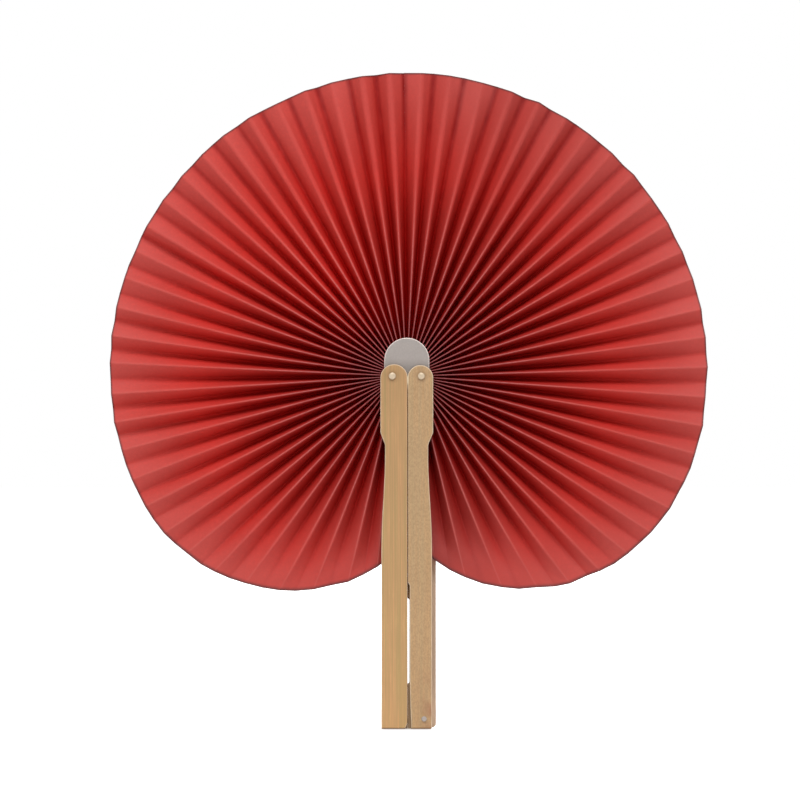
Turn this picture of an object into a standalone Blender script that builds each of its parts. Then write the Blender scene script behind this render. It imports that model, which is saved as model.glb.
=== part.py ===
# A round folding fan: a pleated paper leaf between two wooden handles that turn on a steel bridge.
# The fan is open and upright in the XZ plane, its front towards -Y and its middle plane at X = 0.
# The origin is the middle of the grip, between the two handles. Lengths are in metres, +Z is up.
# Across the fan, a "u" is a distance from the middle plane, and side is -1 on the left, +1 on the right.

import math

import bmesh
import bpy
from mathutils import Matrix, Vector

MM = 0.001

CLEARANCE = 0.3 * MM        # running gap between pieces that touch or turn on each other
CUT_MARGIN = 5.0 * MM       # how far a cutter runs past the surface that it opens

# Paper leaf. Its creases are counted from the top, 0, to the last one beside a handle.
PLEATS_PER_SIDE = 29
PLEATS_PER_PIECE = 2
PANEL_WIDTH = 6.9 * MM      # one flat panel, between two creases
PAPER = 0.13 * MM           # thickness of the paper
LEAF_SEAM = 0.3 * MM        # gap between two neighbouring pieces of the leaf
LEAF_RADIUS = 126.6 * MM
LEAF_TRIM = 11.0 * MM       # the even part of the rim's way in from the top to the last crease
LEAF_TRIM_POWER = 2.59
LEAF_END_RADIUS = 73.3 * MM  # rim at the last crease: the open leaf draws in towards the handles
RIM_DRAWS_IN_FROM = math.radians(112.5)
RIM_DRAWS_IN_POWER = 1.94
LAST_CREASE_ANGLE = math.radians(179.35)  # from straight up: it lies in the handle's channel
SPREAD_FROM_PLEAT = 16.2    # past this pleat the leaf is pulled wider and wider open
SPREAD_STEP = math.radians(0.0068)
SPREAD_POWER = 3
LAST_CREASE_START_U = 4.5 * MM  # where the creases meet the rivets' height
CREASE_START_POWER = 1.85
RADIAL_STEPS = 9
FOLD_AXIS_U = 4.0 * MM      # each half of the leaf gathers round this axis
RIVET_TO_LEAF = 1.15 * MM   # from the rivet's shank to the leaf's inner edge

# Bridge: two arched plates, in front of the leaf and behind it
PLATE_THICKNESS = 0.6 * MM
PLATE_RISE = 15.9 * MM      # arch's top above the rivets
PLATE_FOOT = 4.5 * MM       # lower edge below the rivets
PLATE_CORNER = 1.5 * MM
PLATE_EDGE = 0.15 * MM
ARC_STEPS = 24

# Rivets
RIVET_U = 6.05 * MM
RIVET_RADIUS = 1.0 * MM
RIVET_HEAD_RADIUS = 1.5 * MM
RIVET_HEAD_RISE = 0.6 * MM
TURN_STEPS = 24

# Handles: a wooden channel, open on the outer side, with two ears astride the bridge
PIVOT_HEIGHT = 95.0 * MM    # rivets above the origin
HANDLE_INNER_U = 0.15 * MM
HEAD_OUTER_U = 11.0 * MM
HEAD_ARCH_DROP = 0.8 * MM   # centre of the head's arch, below the rivet
HEAD_LENGTH = 23.6 * MM
SHOULDER_LENGTH = 5.0 * MM
WAIST_OUTER_U = 9.0 * MM
GRIP_OUTER_U = 10.4 * MM
BACK_LEDGE_WIDTH = 1.5 * MM  # the right handle's back wall stands out this far past its front wall
BACK_LEDGE_DEPTH = 3.1 * MM  # from the back face
FLARE_TOP = 33.0 * MM       # the flare from waist to grip, below the rivets
FLARE_BOTTOM = 72.0 * MM
FLARE_STEPS = 8
WALL = 1.4 * MM
FLOOR = 2.25 * MM
EAR_ROOM = 1.8 * MM         # from the plates' lower edge to the channel's floor
LEAF_ROOM = 7.4 * MM        # from the closed leaf's rim to the channel's end, at its mouth
END_BLOCK = 13.0 * MM       # solid wood from there to the handle's bottom end
SAW_RADIUS = 16.0 * MM      # of the saw that cuts the channel
RELIEF_DEPTH = 1.0 * MM     # hollow in the right handle's inner face, from and to these heights above the end
RELIEF_BOTTOM = 18.4 * MM
RELIEF_TOP = 54.3 * MM
RELIEF_SLOPE = 1.5 * MM
RABBET_U = 1.25 * MM        # step along the same face's front edge, wider at the bottom end
RABBET_END_U = 1.85 * MM
RABBET_DEPTH = 1.5 * MM
RABBET_TOP = 61.0 * MM      # above the end
RABBET_WIDENS = 9.0 * MM
EDGE_ROUND = 0.4 * MM
CORNER_ROUND = 2.2 * MM
END_CHAMFER_WIDTH = 1.2 * MM  # on the left handle's front wall
END_CHAMFER_HEIGHT = 2.4 * MM
END_CHAMFER_DEPTH = 1.5 * MM

# Latch: a small steel arm in the right handle's end, its nose in a notch of the left handle
LATCH_PIN_U = 7.2 * MM
LATCH_PIN_RISE = 4.2 * MM   # above the bottom end
LATCH_PIN_RADIUS = 0.75 * MM
LATCH_PIN_HEAD_RADIUS = 1.1 * MM
LATCH_PIN_HEAD_RISE = 0.3 * MM
LATCH_EYE_RADIUS = 1.9 * MM
LATCH_ARM_HEIGHT = 1.6 * MM
LATCH_THICKNESS = 1.6 * MM
LATCH_NOSE = 0.9 * MM       # past the middle plane
LATCH_EDGE = 0.2 * MM

# Sizes that follow from the ones above
PLEAT_PITCH = (
    LAST_CREASE_ANGLE - SPREAD_STEP * (PLEATS_PER_SIDE - SPREAD_FROM_PLEAT) ** SPREAD_POWER
) / PLEATS_PER_SIDE
LEAF_INNER_RADIUS = RIVET_U + RIVET_RADIUS + RIVET_TO_LEAF
PLATE_INNER_Y = PANEL_WIDTH / 2 + PAPER / 2 + CLEARANCE
PLATE_OUTER_Y = PLATE_INNER_Y + PLATE_THICKNESS
CHANNEL_HALF = PLATE_OUTER_Y + CLEARANCE
HANDLE_HALF = CHANNEL_HALF + WALL
FLOOR_U = HANDLE_INNER_U + FLOOR
CLOSED_FLOOR_U = 2 * RIVET_U - FLOOR_U  # the channel's floor when the handle is folded up
PLATE_HALF_WIDTH = CLOSED_FLOOR_U - CLEARANCE
EAR_LENGTH = PLATE_FOOT + EAR_ROOM
CHANNEL_LENGTH = LEAF_RADIUS + LEAF_ROOM
HANDLE_LENGTH = CHANNEL_LENGTH + END_BLOCK  # rivets to the bottom end
LATCH_PIN_Z = LATCH_PIN_RISE - HANDLE_LENGTH
LATCH_SLOT_HALF = LATCH_THICKNESS / 2 + CLEARANCE
WIDEST_U = max(HEAD_OUTER_U, GRIP_OUTER_U + BACK_LEDGE_WIDTH) + CUT_MARGIN

COLOURS = {  # base colour, roughness, metallic
    "bamboo": ((0.56, 0.36, 0.15, 1), 0.55, 0.0),
    "paper": ((0.42, 0.02, 0.02, 1), 0.80, 0.0),
    "steel": ((0.45, 0.44, 0.42, 1), 0.45, 0.9),
    "brass": ((0.80, 0.68, 0.48, 1), 0.30, 0.9),
}


def remove_scene_objects():
    for thing in list(bpy.data.objects):
        bpy.data.objects.remove(thing, do_unlink=True)


def new_collection(name):
    group = bpy.data.collections.new(name)
    bpy.context.scene.collection.children.link(group)
    return group


def add_material(thing, kind):
    colour, roughness, metallic = COLOURS[kind]
    material = bpy.data.materials.new(f"{thing.name}_{kind}")
    material.use_nodes = True
    shader = material.node_tree.nodes["Principled BSDF"]
    shader.inputs["Base Color"].default_value = colour
    shader.inputs["Roughness"].default_value = roughness
    shader.inputs["Metallic"].default_value = metallic
    material.diffuse_color = colour
    thing.data.materials.append(material)


def mesh_object(name, work, group):
    """An object from a closed bmesh, with its faces turned to point outwards."""
    bmesh.ops.recalc_face_normals(work, faces=work.faces)
    if work.calc_volume(signed=True) < 0:
        bmesh.ops.reverse_faces(work, faces=work.faces)
    mesh = bpy.data.meshes.new(name)
    work.to_mesh(mesh)
    work.free()
    thing = bpy.data.objects.new(name, mesh)
    group.objects.link(thing)
    return thing


def flat_solid(name, outline, depth, group):
    """A flat outline of (x, z) points, extruded to a depth that is centred on Y = 0."""
    curve = bpy.data.curves.new(name, "CURVE")
    curve.dimensions = "2D"
    curve.fill_mode = "BOTH"
    curve.extrude = depth / 2
    spline = curve.splines.new("POLY")
    spline.points.add(len(outline) - 1)
    for point, (x, z) in zip(spline.points, outline):
        point.co = (x, z, 0, 1)
    spline.use_cyclic_u = True
    guide = bpy.data.objects.new(name, curve)
    group.objects.link(guide)
    bpy.context.view_layer.update()
    mesh = bpy.data.meshes.new_from_object(guide.evaluated_get(bpy.context.evaluated_depsgraph_get()))
    bpy.data.objects.remove(guide, do_unlink=True)
    work = bmesh.new()
    work.from_mesh(mesh)
    bpy.data.meshes.remove(mesh)
    bmesh.ops.remove_doubles(work, verts=work.verts, dist=1e-6)
    flat = math.radians(0.5)
    bmesh.ops.dissolve_limit(work, angle_limit=flat, verts=work.verts, edges=work.edges)
    bmesh.ops.rotate(work, verts=work.verts, matrix=Matrix.Rotation(math.pi / 2, 3, "X"))
    return mesh_object(name, work, group)


def turned_solid(name, profile, group):
    """A profile of (radius, y) points, from the front end of the axis to its back end, turned round Y."""
    work = bmesh.new()
    points = [work.verts.new((radius, 0, -y)) for radius, y in profile]
    for start, end in zip(points, points[1:]):
        work.edges.new((start, end))
    mesh = bpy.data.meshes.new(name)
    work.to_mesh(mesh)
    work.free()
    mesh.transform(Matrix.Rotation(math.pi / 2, 4, "X"))
    thing = bpy.data.objects.new(name, mesh)
    group.objects.link(thing)
    screw = thing.modifiers.new("turn", "SCREW")
    screw.axis = "Y"
    screw.steps = TURN_STEPS
    screw.render_steps = TURN_STEPS
    screw.use_merge_vertices = True
    screw.merge_threshold = 0.01 * MM
    screw.use_normal_flip = True
    return thing


def box_cutter(name, low, high, group):
    work = bmesh.new()
    bmesh.ops.create_cube(work, size=1)
    size = Vector(high) - Vector(low)
    middle = (Vector(high) + Vector(low)) / 2
    bmesh.ops.scale(work, verts=work.verts, vec=size)
    bmesh.ops.translate(work, verts=work.verts, vec=middle)
    return as_cutter(mesh_object(name, work, group))


def hole_cutter(name, x, z, radius, half_length, group):
    """A round cutter along Y."""
    work = bmesh.new()
    bmesh.ops.create_cone(
        work, cap_ends=True, segments=TURN_STEPS, radius1=radius, radius2=radius, depth=2 * half_length
    )
    bmesh.ops.rotate(work, verts=work.verts, matrix=Matrix.Rotation(math.pi / 2, 3, "X"))
    bmesh.ops.translate(work, verts=work.verts, vec=(x, 0, z))
    return as_cutter(mesh_object(name, work, group))


def as_cutter(thing):
    thing.hide_render = True
    thing.display_type = "WIRE"
    return thing


def round_edges(thing, width, segments=2):
    bevel = thing.modifiers.new("edges", "BEVEL")
    bevel.width = width
    bevel.segments = segments
    bevel.limit_method = "ANGLE"
    bevel.angle_limit = math.radians(50)


def cut(thing, *cutters):
    for cutter in cutters:
        boolean = thing.modifiers.new(cutter.name, "BOOLEAN")
        boolean.operation = "DIFFERENCE"
        boolean.solver = "EXACT"
        boolean.object = cutter


def carry(thing, pivot, cutters=()):
    """Parents a piece that was modelled round its pivot to the empty there, with its cutters."""
    for each in (thing, *cutters):
        each.parent = pivot


def arc(u, z, radius, start, end, steps):
    """Points on an arc, in degrees from +u, anticlockwise where end is more than start."""
    angles = [math.radians(start + (end - start) * i / steps) for i in range(steps + 1)]
    return [(u + radius * math.cos(a), z + radius * math.sin(a)) for a in angles]


def smoothstep(t):
    return t * t * (3 - 2 * t)


# The leaf's geometry


def crease_angle(k):
    return PLEAT_PITCH * k + SPREAD_STEP * max(0.0, k - SPREAD_FROM_PLEAT) ** SPREAD_POWER


def crease_start_u(k):
    """The creases meet the rivets' height further out towards the handle."""
    return math.copysign(LAST_CREASE_START_U * abs(k / PLEATS_PER_SIDE) ** CREASE_START_POWER, k)


def rim_radius(angle):
    trimmed = LEAF_RADIUS - LEAF_TRIM * (angle / LAST_CREASE_ANGLE) ** LEAF_TRIM_POWER
    share = (angle - RIM_DRAWS_IN_FROM) / (LAST_CREASE_ANGLE - RIM_DRAWS_IN_FROM)
    return trimmed - (trimmed - LEAF_END_RADIUS) * max(0.0, share) ** RIM_DRAWS_IN_POWER


def along_crease(k, radius):
    """How far along crease k the distance from the leaf's centre reaches a radius."""
    start = crease_start_u(k)
    shift = start * math.sin(crease_angle(k))
    return math.sqrt(radius ** 2 - start ** 2 + shift ** 2) - shift


def crease_point(side, k, share):
    """A point of crease k, in the plane of the fan, from its inner end (0) to the rim (1)."""
    inner = along_crease(k, LEAF_INNER_RADIUS)
    outer = along_crease(k, rim_radius(abs(crease_angle(k))))
    along = inner + (outer - inner) * share
    angle = crease_angle(k)
    return Vector((side * (crease_start_u(k) + along * math.sin(angle)), 0, along * math.cos(angle)))


def crease_depth(side, k, share):
    """Half of the leaf's depth at crease k: what is left of a panel's width beside its span."""
    after = min(k + 0.5, PLEATS_PER_SIDE)
    before = after - 1
    span = (crease_point(side, after, share) - crease_point(side, before, share)).length / 2
    return math.sqrt(max(PANEL_WIDTH ** 2 - span ** 2, PAPER ** 2)) / 2


def folded_sheet(name, stations, group):
    """A sheet with straight creases, as a loft between its sections.

    A station holds the creases' points where the sheet is cut across, in order. The paper's two faces lie
    half a thickness to either side. On the outside of a fold they keep that distance, and on its
    inside they meet where the two panels' faces do."""
    work = bmesh.new()
    rings = []
    for index, line in enumerate(stations):
        ahead = stations[min(index + 1, len(stations) - 1)]
        behind = stations[max(index - 1, 0)]
        normals = []
        for i in range(len(line) - 1):
            along = ahead[i] + ahead[i + 1] - behind[i] - behind[i + 1]
            normals.append((line[i + 1] - line[i]).cross(along).normalized())
        front, back = [], []
        for i, point in enumerate(line):
            before = normals[max(i - 1, 0)]
            after = normals[min(i, len(normals) - 1)]
            middle = (before + after).normalized()
            inside = PAPER / 2 / max(middle.dot(after), 0.02)
            to_front, to_back = PAPER / 2, PAPER / 2
            if 0 < i < len(line) - 1:
                neighbours = (line[i - 1] + line[i + 1]) / 2 - point
                if neighbours.dot(middle) > 0:
                    to_front = inside
                else:
                    to_back = inside
            front.append(work.verts.new(point + middle * to_front))
            back.append(work.verts.new(point - middle * to_back))
        rings.append((front, back))
    last = len(stations[0]) - 1
    for (front, back), (next_front, next_back) in zip(rings, rings[1:]):
        for i in range(last):
            # a panel twists along its length, so both of its faces are split along the same diagonal
            for face, next_face in ((front, next_front), (back, next_back)):
                work.faces.new((face[i], face[i + 1], next_face[i + 1]))
                work.faces.new((face[i], next_face[i + 1], next_face[i]))
        for i in (0, last):
            work.faces.new((front[i], back[i], next_back[i], next_front[i]))
    for front, back in (rings[0], rings[-1]):
        for i in range(last):
            work.faces.new((front[i], front[i + 1], back[i + 1], back[i]))
    return mesh_object(name, work, group)


def leaf_stations(side, first, last):
    """Sections of the leaf from crease first to crease last, clear of the neighbours by half a seam."""
    halves = round(2 * (last - first))
    trim = LEAF_SEAM / 2 + PAPER / 2
    stations = []
    for step in range(RADIAL_STEPS + 1):
        share = step / RADIAL_STEPS
        line = []
        for half in range(halves + 1):
            k = first + half / 2
            point = crease_point(side, k, share)
            ridge = half % 2 == 1
            depth = crease_depth(side, k, share)
            line.append(point + Vector((0, -depth if ridge else depth, 0)))
        for end, inward in ((0, 1), (halves, halves - 1)):
            across = line[inward] - line[end]
            across.y = 0
            line[end] = line[end] + across.normalized() * trim
        stations.append(line)
    return stations


def leaf_end_stations(side):
    """The leaf's last panel, from its last crease into the channel, and the flap glued to the floor."""
    angle = crease_angle(PLEATS_PER_SIDE)
    floor = FLOOR_U + CLEARANCE + PAPER / 2
    flap_half = CHANNEL_HALF - CLEARANCE - PAPER
    top = EAR_LENGTH + CLEARANCE
    bottom = -crease_point(side, PLEATS_PER_SIDE, 1).z
    stations = []
    for step in range(RADIAL_STEPS + 1):
        share = step / RADIAL_STEPS
        z = -(top + (bottom - top) * share)
        u = crease_start_u(PLEATS_PER_SIDE) + z * math.tan(angle) - LEAF_SEAM / 2 - PAPER / 2
        depth = crease_depth(side, PLEATS_PER_SIDE, share)
        stations.append([
            Vector((side * u, depth, z)),
            Vector((side * floor, -flap_half, z)),
            Vector((side * floor, flap_half, z)),
        ])
    return stations


def moved(stations, origin):
    return [[point - origin for point in line] for line in stations]


# The pieces


def make_leaf(group, pivots, fold_axes):
    for side, word in ((-1, "left"), (1, "right")):
        origin = Vector((side * FOLD_AXIS_U, 0, 0))
        firsts = range(0, PLEATS_PER_SIDE, PLEATS_PER_PIECE)
        for number, first in enumerate(firsts, start=1):
            last = min(first + PLEATS_PER_PIECE, PLEATS_PER_SIDE)
            stations = moved(leaf_stations(side, first, last), origin)
            piece = folded_sheet(f"leaf_{word}_{number:02d}", stations, group)
            carry(piece, fold_axes[side])
            add_material(piece, "paper")
        stations = moved(leaf_end_stations(side), Vector((side * RIVET_U, 0, 0)))
        end = folded_sheet(f"leaf_{word}_end", stations, group)
        carry(end, pivots[side])
        add_material(end, "paper")


def plate_outline():
    centre = PLATE_RISE - PLATE_HALF_WIDTH
    corner_u = PLATE_HALF_WIDTH - PLATE_CORNER
    corner_z = PLATE_CORNER - PLATE_FOOT
    return (
        arc(0, centre, PLATE_HALF_WIDTH, 0, 180, ARC_STEPS)
        + arc(-corner_u, corner_z, PLATE_CORNER, 180, 270, ARC_STEPS // 6)
        + arc(corner_u, corner_z, PLATE_CORNER, 270, 360, ARC_STEPS // 6)
    )


def make_bridge(group, cutters, bridge):
    middle = (PLATE_INNER_Y + PLATE_OUTER_Y) / 2
    holes = [
        hole_cutter(f"plate_hole_{word}", side * RIVET_U, 0, RIVET_RADIUS + CLEARANCE, CHANNEL_HALF, cutters)
        for side, word in ((-1, "left"), (1, "right"))
    ]
    for hole in holes:
        carry(hole, bridge)
    for word, y in (("front", -middle), ("back", middle)):
        plate = flat_solid(f"{word}_plate", plate_outline(), PLATE_THICKNESS, group)
        carry(plate, bridge)
        plate.location.y = y
        round_edges(plate, PLATE_EDGE, 1)
        cut(plate, *holes)
        add_material(plate, "steel")


def headed_pin(name, radius, head_radius, head_rise, group):
    """A pin through a handle with a domed head on either face."""
    under = HANDLE_HALF + CLEARANCE
    dome_steps = 4
    dome = []
    for i in range(dome_steps + 1):
        turn = math.pi / 2 * i / dome_steps
        dome.append((head_radius * math.sin(turn), under + head_rise * math.cos(turn)))
    front = [(r, -y) for r, y in dome] + [(radius, -under)]
    back = [(r, -y) for r, y in reversed(front)]
    pin = turned_solid(name, front + back, group)
    pin.data.shade_smooth()
    return pin


def make_rivets(group, bridge):
    for side, word in ((-1, "left"), (1, "right")):
        rivet = headed_pin(f"{word}_rivet", RIVET_RADIUS, RIVET_HEAD_RADIUS, RIVET_HEAD_RISE, group)
        carry(rivet, bridge)
        rivet.location.x = side * RIVET_U
        add_material(rivet, "brass")


def outer_side(grip_u):
    """The handle's outer side as (u, z) points, from the shoulder under its head to the grip's bottom end."""
    line = [(HEAD_OUTER_U, -HEAD_LENGTH), (WAIST_OUTER_U, -HEAD_LENGTH - SHOULDER_LENGTH)]
    for i in range(FLARE_STEPS + 1):
        share = i / FLARE_STEPS
        u = WAIST_OUTER_U + (grip_u - WAIST_OUTER_U) * smoothstep(share)
        line.append((u, -FLARE_TOP - (FLARE_BOTTOM - FLARE_TOP) * share))
    return line


def handle_outline(side):
    """The handle's widest outline as (u, z) points, from the inner side of its head over the top and round."""
    head_radius = (HEAD_OUTER_U - HANDLE_INNER_U) / 2
    head_u = (HEAD_OUTER_U + HANDLE_INNER_U) / 2
    head = arc(head_u, -HEAD_ARCH_DROP, head_radius, 180, 0, ARC_STEPS)
    bottom = -HANDLE_LENGTH
    if side < 0:
        return head + outer_side(GRIP_OUTER_U) + [(GRIP_OUTER_U, bottom), (HANDLE_INNER_U, bottom)]
    widest = GRIP_OUTER_U + BACK_LEDGE_WIDTH
    corner = arc(widest - CORNER_ROUND, bottom + CORNER_ROUND, CORNER_ROUND, 0, -90, ARC_STEPS // 6)
    relief_u = HANDLE_INNER_U + RELIEF_DEPTH
    return head + outer_side(widest) + corner + [
        (HANDLE_INNER_U, bottom),
        (HANDLE_INNER_U, bottom + RELIEF_BOTTOM),
        (relief_u, bottom + RELIEF_BOTTOM + RELIEF_SLOPE),
        (relief_u, bottom + RELIEF_TOP - RELIEF_SLOPE),
        (HANDLE_INNER_U, bottom + RELIEF_TOP),
    ]


def front_cutter(name, side, outline, depth, group):
    """Cuts an outline of (u, z) points into the handle's front, down to a depth."""
    placed = [(side * (u - RIVET_U), z) for u, z in outline]
    cutter = flat_solid(name, placed, depth + CUT_MARGIN, group)
    cutter.location.y = (depth - CUT_MARGIN) / 2 - HANDLE_HALF
    return as_cutter(cutter)


def ledge_outline():
    """What lies outside the grip's own outer side."""
    below = -HANDLE_LENGTH - CUT_MARGIN
    flare = outer_side(GRIP_OUTER_U)[2:]
    return flare + [(GRIP_OUTER_U, below), (WIDEST_U, below), (WIDEST_U, -FLARE_TOP)]


def rabbet_outline():
    bottom = -HANDLE_LENGTH
    return [
        (-CUT_MARGIN, bottom + RABBET_TOP),
        (RABBET_U, bottom + RABBET_TOP),
        (RABBET_U, bottom + RABBET_WIDENS),
        (RABBET_END_U, bottom),
        (RABBET_END_U, bottom - CUT_MARGIN),
        (-CUT_MARGIN, bottom - CUT_MARGIN),
    ]


def chamfer_outline():
    bottom = -HANDLE_LENGTH
    slope = END_CHAMFER_WIDTH / END_CHAMFER_HEIGHT
    return [
        (HANDLE_INNER_U - CUT_MARGIN * slope, bottom + END_CHAMFER_HEIGHT + CUT_MARGIN),
        (HANDLE_INNER_U + END_CHAMFER_WIDTH + CUT_MARGIN * slope, bottom - CUT_MARGIN),
        (HANDLE_INNER_U - CUT_MARGIN * slope, bottom - CUT_MARGIN),
    ]


def channel_cutter(name, side, group):
    """The gap between the ears and the channel below it, whose end runs out in the slotting saw's curve."""
    depth = WIDEST_U - FLOOR_U
    out = math.degrees(math.acos(1 - depth / SAW_RADIUS))
    start = math.sqrt(SAW_RADIUS ** 2 - (SAW_RADIUS - GRIP_OUTER_U + FLOOR_U) ** 2) - CHANNEL_LENGTH
    run_out = arc(FLOOR_U + SAW_RADIUS, start, SAW_RADIUS, 180, 180 + out, ARC_STEPS // 2)
    top = HEAD_OUTER_U
    outline = [
        (WIDEST_U, top),
        (-CUT_MARGIN, top),
        (-CUT_MARGIN, -EAR_LENGTH),
        (FLOOR_U, -EAR_LENGTH),
    ]
    placed = [(side * (u - RIVET_U), z) for u, z in outline + run_out]
    return as_cutter(flat_solid(name, placed, 2 * CHANNEL_HALF, group))


def side_box(name, side, low, high, group):
    """A box cutter from (u, y, z) to (u, y, z), round the handle's rivet."""
    ends = sorted(side * (u - RIVET_U) for u in (low[0], high[0]))
    return box_cutter(name, (ends[0], low[1], low[2]), (ends[1], high[1], high[2]), group)


def make_handle(side, word, group, cutters, pivot):
    outline = [(side * (u - RIVET_U), z) for u, z in handle_outline(side)]
    handle = flat_solid(f"{word}_handle", outline, 2 * HANDLE_HALF, group)
    round_edges(handle, EDGE_ROUND)
    bottom = -HANDLE_LENGTH - CUT_MARGIN
    tools = [
        channel_cutter(f"{word}_channel", side, cutters),
        hole_cutter(f"{word}_rivet_hole", 0, 0, RIVET_RADIUS + CLEARANCE, HANDLE_HALF + CUT_MARGIN, cutters),
    ]
    if side < 0:
        notch_u = LATCH_NOSE + CLEARANCE
        notch_top = LATCH_PIN_Z - LATCH_EYE_RADIUS + LATCH_ARM_HEIGHT + CLEARANCE
        tools.append(front_cutter("end_chamfer", side, chamfer_outline(), END_CHAMFER_DEPTH, cutters))
    else:
        notch_u = LATCH_PIN_U + LATCH_EYE_RADIUS + CLEARANCE
        notch_top = LATCH_PIN_Z + LATCH_EYE_RADIUS + CLEARANCE
        pin_x = LATCH_PIN_U - RIVET_U
        pin_hole = LATCH_PIN_RADIUS + CLEARANCE
        tools.append(
            hole_cutter("latch_pin_hole", pin_x, LATCH_PIN_Z, pin_hole, HANDLE_HALF + CUT_MARGIN, cutters)
        )
        ledge_front = 2 * HANDLE_HALF - BACK_LEDGE_DEPTH
        tools.append(front_cutter("ledge_front", side, ledge_outline(), ledge_front, cutters))
        tools.append(front_cutter("rabbet", side, rabbet_outline(), RABBET_DEPTH, cutters))
    tools.append(
        side_box(
            f"{word}_latch_slot",
            side,
            (-CUT_MARGIN, -LATCH_SLOT_HALF, bottom),
            (notch_u, LATCH_SLOT_HALF, notch_top),
            cutters,
        )
    )
    carry(handle, pivot, tools)
    cut(handle, *tools)
    add_material(handle, "bamboo")


def latch_outline():
    """The latch round its pin, its arm pointing to -X: an eye, and an arm flush with the eye's foot."""
    reach = LATCH_PIN_U + LATCH_NOSE
    arm_top = LATCH_ARM_HEIGHT - LATCH_EYE_RADIUS
    meets = 180 - math.degrees(math.asin(arm_top / LATCH_EYE_RADIUS))
    nose_round = LATCH_ARM_HEIGHT / 2
    eye = arc(0, 0, LATCH_EYE_RADIUS, -90, meets, ARC_STEPS)
    nose = arc(nose_round - reach, arm_top - nose_round, nose_round, 90, 270, ARC_STEPS // 3)
    return eye + nose


def make_latch(group, cutters, latch_pivot, right_pivot):
    pin = headed_pin(
        "latch_pin", LATCH_PIN_RADIUS, LATCH_PIN_HEAD_RADIUS, LATCH_PIN_HEAD_RISE, group
    )
    carry(pin, right_pivot)
    pin.location = (LATCH_PIN_U - RIVET_U, 0, LATCH_PIN_Z)
    add_material(pin, "steel")
    latch = flat_solid("latch", latch_outline(), LATCH_THICKNESS, group)
    hole = hole_cutter("latch_hole", 0, 0, LATCH_PIN_RADIUS + CLEARANCE, LATCH_THICKNESS, cutters)
    carry(latch, latch_pivot, [hole])
    round_edges(latch, LATCH_EDGE, 1)
    cut(latch, hole)
    add_material(latch, "steel")


def add_pivot(name, x, z, group):
    pivot = bpy.data.objects.new(name, None)
    pivot.empty_display_size = 4 * MM
    pivot.location = (x, 0, z)
    group.objects.link(pivot)
    return pivot


def main():
    remove_scene_objects()
    group = new_collection("folding_fan")
    cutters = new_collection("cutters")
    bridge = add_pivot("bridge_axis", 0, PIVOT_HEIGHT, group)
    pivots = {}
    fold_axes = {}
    for side, word in ((-1, "left"), (1, "right")):
        pivots[side] = add_pivot(f"{word}_handle_axis", side * RIVET_U, PIVOT_HEIGHT, group)
        fold_axes[side] = add_pivot(f"{word}_fold_axis", side * FOLD_AXIS_U, PIVOT_HEIGHT, group)
    latch_pivot = add_pivot("latch_axis", LATCH_PIN_U, PIVOT_HEIGHT + LATCH_PIN_Z, group)

    make_bridge(group, cutters, bridge)
    make_rivets(group, bridge)
    for side, word in ((-1, "left"), (1, "right")):
        make_handle(side, word, group, cutters, pivots[side])
    make_leaf(group, pivots, fold_axes)
    make_latch(group, cutters, latch_pivot, pivots[1])


main()
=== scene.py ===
import math

import bpy
import numpy as np
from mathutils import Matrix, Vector


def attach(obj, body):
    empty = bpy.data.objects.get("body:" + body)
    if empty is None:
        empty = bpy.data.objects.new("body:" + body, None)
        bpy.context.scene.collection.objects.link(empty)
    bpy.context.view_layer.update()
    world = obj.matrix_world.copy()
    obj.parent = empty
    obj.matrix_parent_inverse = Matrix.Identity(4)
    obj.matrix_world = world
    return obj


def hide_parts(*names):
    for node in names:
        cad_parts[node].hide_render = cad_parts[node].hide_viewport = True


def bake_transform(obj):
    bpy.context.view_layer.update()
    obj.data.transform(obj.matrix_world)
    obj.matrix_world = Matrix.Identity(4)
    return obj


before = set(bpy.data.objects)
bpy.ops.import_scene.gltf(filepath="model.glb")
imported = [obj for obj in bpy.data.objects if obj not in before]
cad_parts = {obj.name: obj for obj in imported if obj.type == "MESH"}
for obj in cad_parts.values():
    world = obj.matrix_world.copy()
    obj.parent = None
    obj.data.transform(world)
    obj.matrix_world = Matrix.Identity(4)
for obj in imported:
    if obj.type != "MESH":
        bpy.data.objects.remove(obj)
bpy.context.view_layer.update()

mm = 0.001
deg = math.radians(1)
sides = (("left", -1), ("right", 1))


def addObject(name, data, place=(0, 0, 0)):
    thing = bpy.data.objects.new(name, data)
    thing.location = place
    bpy.context.scene.collection.objects.link(thing)
    return thing


def newPiece(name, points, faces, values, sharpAngle=35):
    # points is n x 3, faces a list of index tuples, values a dictionary of one number for each point.
    # The faces are turned round where their volume, the sum of a . (b x c) / 6 over triangles, is negative
    volume = 0.0
    for i in (1, 2):
        fans = [face for face in faces if len(face) > i + 1]
        a, b, c = (points[[face[corner] for face in fans]] for corner in (0, i, i + 1))
        volume += np.einsum("ij,ij->i", a, np.cross(b, c)).sum() / 6
    if volume < 0:
        faces = [tuple(reversed(face)) for face in faces]
    mesh = bpy.data.meshes.new(name)
    mesh.from_pydata(points.tolist(), [], faces)
    for key, numbers in values.items():
        layer = mesh.attributes.new(key, "FLOAT", "POINT")
        layer.data.foreach_set("value", np.asarray(numbers, np.float32).ravel())
    mesh.shade_smooth()
    mesh.set_sharp_from_angle(angle=math.radians(sharpAngle))
    return addObject(name, mesh)


def quadsOf(*corners):
    return [tuple(quad) for quad in np.stack(corners, -1).reshape(-1, 4).tolist()]


def gridFaces(rows, columns, offset=0, wrap=False):
    # quads of a grid whose points are counted row by row; wrap joins the last column to the first
    index = np.arange(rows * columns).reshape(rows, columns) + offset
    if wrap:
        index = np.concatenate([index, index[:, :1]], axis=1)
    return quadsOf(index[:-1, :-1], index[:-1, 1:], index[1:, 1:], index[1:, :-1])


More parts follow.
